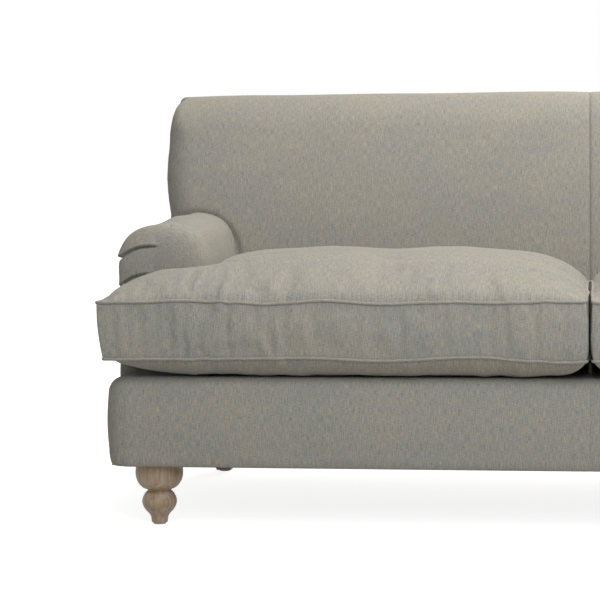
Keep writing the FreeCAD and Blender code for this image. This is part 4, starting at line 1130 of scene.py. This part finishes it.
class SOFA_OT_arms(bpy.types.Operator):
    """Makes the roll arms with their pleated fronts"""

    bl_idname = "sofa.arms"
    bl_label = "Arms"

    def execute(self, context):
        for side, sign in SIDES:
            made = piece(
                "arm_upholstery_" + side, mirrored(arm_patches(context.scene.sofa_sizes), sign), "sofa",
                "linen", replaces=["arm_cover_" + side, "arm_pad_" + side],
            )
        return {"FINISHED"}


# Outside panels, in mm: lower edge of both, upper edge of the arms' ones, their face and their inner side,
# half the width of the back's one below the arms, and its thickness.

PANEL_BOTTOM = BASE_BOTTOM + 0.5
ARM_PANEL_TOP = 507.0
ARM_PANEL_FACE = 944.0
ARM_PANEL_INNER = 934.0
BACK_PANEL_HALF = 941.0
PANEL_THICKNESS = 9.0


def arm_panel():
    """The outside panel of the right arm: flat, with rounded edges, a slight swell and slow waves."""
    t = closer_at_ends(70, 0.75)
    z = PANEL_BOTTOM + (ARM_PANEL_TOP - PANEL_BOTTOM) * t
    first, last = np.full_like(z, ARM_FRONT + 9.0), rear_y_at(z) - PANEL_THICKNESS
    y = first[None, :] + (last - first)[None, :] * closer_at_ends(100, 0.75)[:, None]
    z = np.broadcast_to(z[None], y.shape)
    edge = np.minimum.reduce([y - y[:1], y[-1:] - y, z - PANEL_BOTTOM, ARM_PANEL_TOP - z])
    swell = 1.6 * np.sin(math.pi * np.clip((y - y[:1]) / 700.0, 0.0, 1.0)) * np.sin(math.pi * t)[None]
    slow = 0.35 * (waves(41, 5, 120.0, 300.0)(y) + waves(42, 5, 120.0, 300.0)(z))
    x = ARM_PANEL_FACE + swell - rounded_edge(edge, 6.0) + slow * smooth(edge / 40.0)
    face = np.stack([x, y, z], axis=-1)
    inner = face.copy()
    inner[..., 0] = ARM_PANEL_INNER
    return slab_patches(face, inner, np.stack([y, z], axis=-1) * MM)


def back_panel():
    """The outside panel of the back: follows its arc, and above the arms stays 8 mm inside the back's ends."""
    x, z = np.meshgrid(np.linspace(-BACK_PANEL_HALF, BACK_PANEL_HALF, 190),
                       np.linspace(PANEL_BOTTOM, ROLL_Z - 2.0, 100), indexing="ij")
    edge = np.minimum.reduce([x - x[:1], x[-1:] - x, z - z[:, :1], z[:, -1:] - z])
    above_arm = smooth((z - 500.0) / 12.0)
    half = np.maximum(back_half_width(z), POST_COVER) - 8.0
    x = x * (BACK_PANEL_HALF + (half - BACK_PANEL_HALF) * above_arm) / BACK_PANEL_HALF
    slow = 0.5 * (waves(43, 5, 160.0, 420.0)(x) + waves(44, 5, 120.0, 300.0)(z))
    face = np.stack([x, rear_y_at(z) - rounded_edge(edge, 5.0) + slow * smooth(edge / 50.0), z], axis=-1)
    inner = face.copy()
    inner[..., 1] = rear_y_at(z) - PANEL_THICKNESS
    return slab_patches(face, inner, np.stack([-x, z], axis=-1) * MM)


class SOFA_OT_outside_panels(bpy.types.Operator):
    """Makes the flat linen panels outside the arms and the back"""

    bl_idname = "sofa.outside_panels"
    bl_label = "Outside panels"

    def execute(self, context):
        for side, sign in SIDES:
            piece("outside_arm_panel_" + side, mirrored(arm_panel(), sign), "sofa", "linen",
                  replaces=["outside_arm_cover_" + side, "outside_arm_wadding_" + side])
        piece("outside_back_panel", back_panel(), "sofa", "linen",
              replaces=["outside_back_cover", "outside_back_wadding"])
        return {"FINISHED"}


# Base, in mm: the seam beside the corner, the border's end on its side, the radius of its corner in plan,
# and the radius of its edge roll at the top.

CORNER_SEAM_X = 905.0
BASE_TAIL = -262.0
CORNER_RADIUS = 46.0
TOP_RADIUS = 32.0


def border_plan(inset, n_front=110, n_turn=14, n_side=22):
    """Plan of the border at an inset, from the middle of the front round the corner to its tail.

    Straight, a quarter circle whose radius shrinks with the inset, and straight again.
    """
    radius = np.maximum(CORNER_RADIUS - inset, 1.0)
    cx, cy = BASE_OUTER - inset - radius, BASE_FRONT + inset + radius
    front = np.stack([cx * closer_at_start(n_front, 0.08, 0.6), np.full(n_front, BASE_FRONT + inset)], axis=-1)
    angle = np.linspace(-math.pi / 2, 0.0, n_turn)[1:]
    turn = np.stack([cx + radius * np.cos(angle), cy + radius * np.sin(angle)], axis=-1)
    side = np.stack([np.full(n_side, BASE_OUTER - inset), np.linspace(cy, BASE_TAIL, n_side + 1)[1:]], axis=-1)
    return np.concatenate([front, turn, side])


def border_section():
    """Inset and height up the border: under the edge, round it, up the bowed face, round the top, inwards."""
    low, top = BASE_BOTTOM + 1.0, DECK_TOP
    a = np.stack([np.linspace(34.0, 7.0, 5)[:-1], np.full(4, low)], axis=-1)
    t = np.linspace(0.0, math.pi / 2, 8)
    b = np.stack([7.0 - 7.0 * np.sin(t), low + 30.0 - 30.0 * np.cos(t)], axis=-1)
    s = np.linspace(0.0, 1.0, 15)[1:-1]
    c = np.stack([-3.0 * np.sin(math.pi * s), low + 30.0 + (top - low - 30.0 - TOP_RADIUS) * s], axis=-1)
    t = np.linspace(0.0, math.pi / 2, 10)
    d = np.stack([TOP_RADIUS - TOP_RADIUS * np.cos(t), top - TOP_RADIUS + TOP_RADIUS * np.sin(t)], axis=-1)
    e = np.stack([np.linspace(TOP_RADIUS, 135.0, 14)[1:], np.full(13, top)], axis=-1)
    return np.concatenate([a, b, c, d, e])


def border_patches(sizes):
    """The right half of the border: its section carried along its plan, drawn in by its seams, with waves.

    The moves go to the front along the front, and turn to the side round the corner.
    """
    section = border_section()
    plan = np.stack([border_plan(inset) for inset in section[:, 0]], axis=1)
    grid = np.concatenate([plan, np.broadcast_to(section[:, 1], plan.shape[:2])[..., None]], axis=-1)
    x, z = grid[..., 0], grid[..., 2]
    seam = sizes.seam_depth / MM
    move = -seam * 0.7 * bell(x, 3.0) - 1.5 * np.exp(-x / 45.0)
    on_front = grid[..., 1] < BASE_FRONT + 20.0
    move = move - on_front * seam * 0.8 * bell(x - CORNER_SEAM_X, 2.6)
    slow = 0.8 * waves(51, 5, 200.0, 480.0)(x)
    slow = slow + 0.35 * waves(52, 6, 60.0, 170.0)(x) * smooth((z - 240.0) / 50.0)
    side_way = smooth((x - 895.0) / 40.0)[..., None]
    out = np.array([0.0, -1.0, 0.0]) * (1.0 - side_way) + np.array([1.0, 0.0, 0.0]) * side_way
    outer = (section[:, 0] < 40.0)[None, :]
    face = smooth((z - BASE_BOTTOM) / 30.0)
    grid = grid + out * (move * outer + slow * outer * face * smooth(x / 60.0))[..., None]
    run_u = lengths(np.swapaxes(grid, 0, 1))[20]
    uv = np.stack(np.broadcast_arrays(run_u[:, None] * MM, lengths(section)[None] * MM), axis=-1)
    return [(grid, uv, False)]


def platform_patches():
    """Cotton platform from the border's lip to the back, crowned by 0.9 mm."""
    x, y = np.meshgrid(np.linspace(-771.0, 771.0, 150), np.linspace(-318.0, 88.0, 60), indexing="ij")
    crown = 1.0
    for place, low, high in ((x, x[0, 0], x[-1, 0]), (y, y[0, 0], y[0, -1])):
        crown = crown * np.sin(math.pi * (place - low) / (high - low))
    face = np.stack([x, y, DECK_TOP - 0.6 + 0.9 * np.clip(crown, 0.0, 1.0) ** 0.5], axis=-1)
    under = face.copy()
    under[..., 2] = DECK_TOP - 6.0
    return slab_patches(face, under, np.stack([x, y], axis=-1) * MM)


class SOFA_OT_base(bpy.types.Operator):
    """Makes the linen border of the base and the platform under the cushions"""

    bl_idname = "sofa.base"
    bl_label = "Base"

    def execute(self, context):
        for side, sign in SIDES:
            made = piece(
                "base_border_" + side, mirrored(border_patches(context.scene.sofa_sizes), sign), "sofa",
                "linen", replaces=["border_cover_" + side, "border_pad"], closed=False,
            )
        piece("platform_lining", platform_patches(), "sofa", "platform_cotton", replaces=["platform_cloth"])
        return {"FINISHED"}


# Feet, in mm. Radius at each height of the turned foot: toe, ball, neck and bun.

FOOT_TURNING = (
    (12.5, 3.0), (15.4, 3.6), (15.9, 6.0), (16.4, 9.0), (17.4, 15.0), (21.0, 21.0), (27.4, 28.0), (32.4, 36.5),
    (34.4, 45.0), (32.8, 53.0), (28.6, 61.0), (24.6, 66.0), (24.0, 67.5), (25.2, 69.2), (31.9, 72.0),
    (39.2, 78.5), (44.6, 88.0), (47.0, 99.0), (46.8, 110.0), (45.6, 119.6), (30.0, 120.0),
)
# Height of the neck, and depth and half width of the groove cut into it.
FOOT_NECK = 66.8
NECK_DEPTH = 2.4
NECK_HALF = 1.1
# Half the rear foot's width at its toe and at its top, and where its middle stands at both.
REAR_HALF_TOE, REAR_HALF_TOP = 18.0, 29.0
REAR_TOE_Y, REAR_TOP_Y = 362.0, 322.0
# How square it is: the power of the rounded square, |x|^9 + |y|^9 = 1.
REAR_SQUARENESS = 9.0


def eased_line(line, n, crease):
    """A polyline as n points on curves through its corners, with a groove cut into it at one height.

    Between two corners the curve is the cubic that leaves each along the line between its neighbours.
    """
    run = lengths(line)
    slope = np.gradient(line, run, axis=0)
    at = np.linspace(0.0, run[-1], n)
    k = np.clip(np.searchsorted(run, at, side="right") - 1, 0, len(run) - 2)
    h = (run[k + 1] - run[k])[:, None]
    t = ((at - run[k])[:, None]) / h
    curve = (
        (2 * t**3 - 3 * t**2 + 1) * line[k] + (t**3 - 2 * t**2 + t) * h * slope[k]
        + (3 * t**2 - 2 * t**3) * line[k + 1] + (t**3 - t**2) * h * slope[k + 1]
    )
    curve[:, 0] -= NECK_DEPTH * bell(curve[:, 1] - crease, NECK_HALF)
    return curve


def foot_middle(node):
    """Middle of a foot in plan."""
    return ((bottom_of(node) + top_of(node)) / 2)[:2]


def turned_foot(node):
    """A front foot: its turning line carried round its upright axis and closed at both ends."""
    r, z = eased_line(np.array(FOOT_TURNING), 130, FOOT_NECK).T
    r, z = np.concatenate([[0.0], r, [0.0]]), np.concatenate([[z[0]], z, [z[-1]]])
    angle = np.linspace(0.0, 2.0 * math.pi, 97)[:, None]
    cx, cy = foot_middle(node)
    points = np.stack(np.broadcast_arrays(cx + np.cos(angle) * r, cy + np.sin(angle) * r, z), axis=-1)
    return [(points, points[..., [0, 2]] * MM, False)]


def raked_foot(node):
    """A rear foot, square, tapered and raked: a rounded square carried from its toe to its top."""
    low, high = bottom_of(node)[2], top_of(node)[2]
    cx = foot_middle(node)[0]
    angle = np.linspace(0.0, 2.0 * math.pi, 81)
    cos, sin = np.cos(angle)[:, None], np.sin(angle)[:, None]
    power = 2.0 / REAR_SQUARENESS
    square_x, square_y = np.sign(cos) * np.abs(cos) ** power, np.sign(sin) * np.abs(sin) ** power
    t = np.linspace(0.0, 1.0, 30)
    half = REAR_HALF_TOE + (REAR_HALF_TOP - REAR_HALF_TOE) * t
    cy = REAR_TOE_Y + (REAR_TOP_Y - REAR_TOE_Y) * t
    z = low + (high - low) * t
    ease = np.where(t < 0.02, 0.94, 1.0)
    x, y = cx + square_x * half * ease, cy + square_y * half * ease
    points = np.stack(np.broadcast_arrays(x, y, z), axis=-1)
    cap_low = points[:, :1] * 0.0 + np.array([cx, cy[0], z[0]])
    cap_high = points[:, -1:] * 0.0 + np.array([cx, cy[-1], z[-1]])
    points = np.concatenate([cap_low, points, cap_high], axis=1)
    return [(points, points[..., [0, 2]] * MM, False)]


class SOFA_OT_feet(bpy.types.Operator):
    """Makes the turned front feet and the raked rear ones"""

    bl_idname = "sofa.feet"
    bl_label = "Feet"

    def execute(self, context):
        for side, _ in SIDES:
            for name, node, shape in (("turned_foot_front_", "front_foot_", turned_foot),
                                      ("raked_foot_rear_", "rear_foot_", raked_foot)):
                piece(name + side, shape(node + side), "sofa", "limed_beech",
                      replaces=[node + side], weld=0.005)
        return {"FINISHED"}


# What the solids carry over.


class SOFA_OT_frame_parts(bpy.types.Operator):
    """Gives every solid that stays in the model the finish of its slot"""

    bl_idname = "sofa.frame_parts"
    bl_label = "Frame parts"

    def execute(self, context):
        slots = {part["node"]: part["material_slot"] for part in frame["record"]["subparts"]}
        for name, made in frame["nodes"].items():
            if made.hide_render:
                continue
            made.data.materials.clear()
            made.data.materials.append(finish_of(slots[name]))
        return {"FINISHED"}


# Stage. Half the floor's width in m, and where its own brightness starts and ends to rise to white.

FLOOR_HALF = 60.0
FLOOR_NEAR, FLOOR_FAR = 1.4, 3.2
FLOOR_NEAR_LEVEL = 0.86
FLOOR_COLOUR = "#c2c0ba"
# Camera: place in mm, then yaw, pitch and roll in radians, and the shift that the photograph's crop needs.
CAMERA_PLACE = (12.85, -4379.08, 696.86)
CAMERA_TURN = (0.1331, -0.0281, -0.0083)
CAMERA_SHIFT = (-0.03, -0.12)
CAMERA_SENSOR = 36.0
# Name, place, target and size in m, setting that holds the power, and tint.
LAMPS = (
    ("key", (0.7, -0.5, 3.1), (-0.1, -0.1, 0.4), 2.4, "key_power", (1.0, 0.95, 0.84)),
    ("front", (0.4, -2.8, 2.3), (-0.1, -0.1, 0.4), 2.4, "front_power", (0.9, 0.94, 1.0)),
    ("behind", (0.4, 3.4, 1.6), (0.0, 0.3, 0.5), 2.0, "rear_power", (1.0, 0.97, 0.92)),
    ("rear", (0.6, 0.9, 3.1), (-0.1, 0.0, 0.4), 2.4, "rear_power", (1.0, 0.95, 0.84)),
)


def look(position, yaw, pitch, roll):
    """Camera matrix from its place in mm and three angles in radians; yaw turns towards -X."""
    ahead = Vector((-math.sin(yaw) * math.cos(pitch), math.cos(yaw) * math.cos(pitch), math.sin(pitch)))
    right = Vector((math.cos(yaw), math.sin(yaw), 0.0))
    up = right.cross(ahead)
    across = right * math.cos(roll) + up * math.sin(roll)
    above = up * math.cos(roll) - right * math.sin(roll)
    turn = Matrix((across, above, -ahead)).transposed()
    return Matrix.Translation(Vector(position) * MM) @ turn.to_4x4()


def as_background(tree):
    """1 for rays that come from the camera or from a gloss, 0 for the rest."""
    rays = add(tree, "ShaderNodeLightPath")
    return add(tree, "ShaderNodeMath", {0: rays.outputs["Is Camera Ray"], 1: rays.outputs["Is Glossy Ray"]},
               operation="MAXIMUM").outputs[0]


class SOFA_OT_stage(bpy.types.Operator):
    """Makes the pale floor, the soft lights and the camera"""

    bl_idname = "sofa.stage"
    bl_label = "Stage"

    def execute(self, context):
        scene = context.scene
        stage = scene.sofa_stage
        scene.view_settings.view_transform = "Standard"
        self.floor(scene)
        self.surroundings(scene, stage.fill_strength)
        for name, place, target, size, power, tint in LAMPS:
            light = bpy.data.lights.new(name, "AREA")
            light.size = size
            light.energy = getattr(stage, power)
            light.color = tint
            made = bpy.data.objects.new(name, light)
            scene.collection.objects.link(made)
            made.location = place
            made.rotation_euler = (Vector(target) - Vector(place)).to_track_quat("-Z", "Y").to_euler()
        camera = bpy.data.objects.new("camera", bpy.data.cameras.new("camera"))
        scene.collection.objects.link(camera)
        camera.data.sensor_width = CAMERA_SENSOR
        camera.data.lens = stage.lens
        camera.data.shift_x, camera.data.shift_y = CAMERA_SHIFT
        camera.matrix_world = look(CAMERA_PLACE, *CAMERA_TURN)
        scene.camera = camera
        return {"FINISHED"}

    def floor(self, scene):
        """A matt pale floor that shows white further away and keeps the object's shadow."""
        mesh = bpy.data.meshes.new("floor")
        corners = [(x * FLOOR_HALF, y * FLOOR_HALF, 0) for x, y in ((-1, -1), (1, -1), (1, 1), (-1, 1))]
        mesh.from_pydata(corners, [], [(0, 1, 2, 3)])
        floor = bpy.data.objects.new("floor", mesh)
        scene.collection.objects.link(floor)
        pale, tree, shader = material("pale_studio_floor")
        seen = as_background(tree)
        place = add(tree, "ShaderNodeTexCoord").outputs["Object"]
        away = add(tree, "ShaderNodeVectorMath", {0: place}, operation="LENGTH")
        rise = add(tree, "ShaderNodeMapRange", {
            "Value": away.outputs["Value"], "From Min": FLOOR_NEAR, "From Max": FLOOR_FAR,
            "To Min": FLOOR_NEAR_LEVEL, "To Max": 1.0,
        }, interpolation_type="SMOOTHSTEP")
        level = add(tree, "ShaderNodeMath", {0: seen, 1: rise.outputs["Result"]}, operation="MULTIPLY")
        feed(tree, shader, {"Roughness": 0.9, "Base Color": colour(FLOOR_COLOUR), "Emission Color": WHITE,
                            "Emission Strength": level.outputs[0]})
        mesh.materials.append(pale)

    def surroundings(self, scene, fill):
        """A world that is seen as white and lights the object evenly by the fill."""
        world = bpy.data.worlds.new("studio")
        scene.world = world
        world.use_nodes = True
        tree = world.node_tree
        tree.nodes.clear()
        level = add(tree, "ShaderNodeMapRange", {"Value": as_background(tree), "To Min": fill, "To Max": 1.0})
        sky = add(tree, "ShaderNodeBackground", {"Color": WHITE, "Strength": level.outputs["Result"]})
        add(tree, "ShaderNodeOutputWorld", {"Surface": sky.outputs["Background"]})


class SOFA_PT_panel(bpy.types.Panel):
    """Lists the sofa's settings and steps"""

    bl_idname = "SOFA_PT_panel"
    bl_label = "Sofa"
    bl_space_type = "VIEW_3D"
    bl_region_type = "UI"
    bl_category = "Sofa"

    def draw(self, context):
        for group in (context.scene.sofa_sizes, context.scene.sofa_colours, context.scene.sofa_stage):
            for key in group.__annotations__:
                self.layout.prop(group, key)
        for step in STEPS:
            self.layout.operator(step.bl_idname)


STEPS = (
    SOFA_OT_seat_cushions,
    SOFA_OT_back,
    SOFA_OT_arms,
    SOFA_OT_outside_panels,
    SOFA_OT_base,
    SOFA_OT_feet,
    SOFA_OT_frame_parts,
    SOFA_OT_stage,
)
CLASSES = (SofaSizes, SofaColours, SofaStage, *STEPS, SOFA_PT_panel)


def register():
    """Registers the classes and hangs the settings on the scene."""
    for item in CLASSES:
        bpy.utils.register_class(item)
    bpy.types.Scene.sofa_sizes = bpy.props.PointerProperty(type=SofaSizes)
    bpy.types.Scene.sofa_colours = bpy.props.PointerProperty(type=SofaColours)
    bpy.types.Scene.sofa_stage = bpy.props.PointerProperty(type=SofaStage)


def unregister():
    """Takes the settings and the classes away again."""
    del bpy.types.Scene.sofa_stage
    del bpy.types.Scene.sofa_colours
    del bpy.types.Scene.sofa_sizes
    for item in reversed(CLASSES):
        bpy.utils.unregister_class(item)


def main():
    """Builds everything in order."""
    register()
    bpy.ops.sofa.seat_cushions()
    bpy.ops.sofa.back()
    bpy.ops.sofa.arms()
    bpy.ops.sofa.outside_panels()
    bpy.ops.sofa.base()
    bpy.ops.sofa.feet()
    bpy.ops.sofa.frame_parts()
    bpy.ops.sofa.stage()


if __name__ == "__main__":
    main()
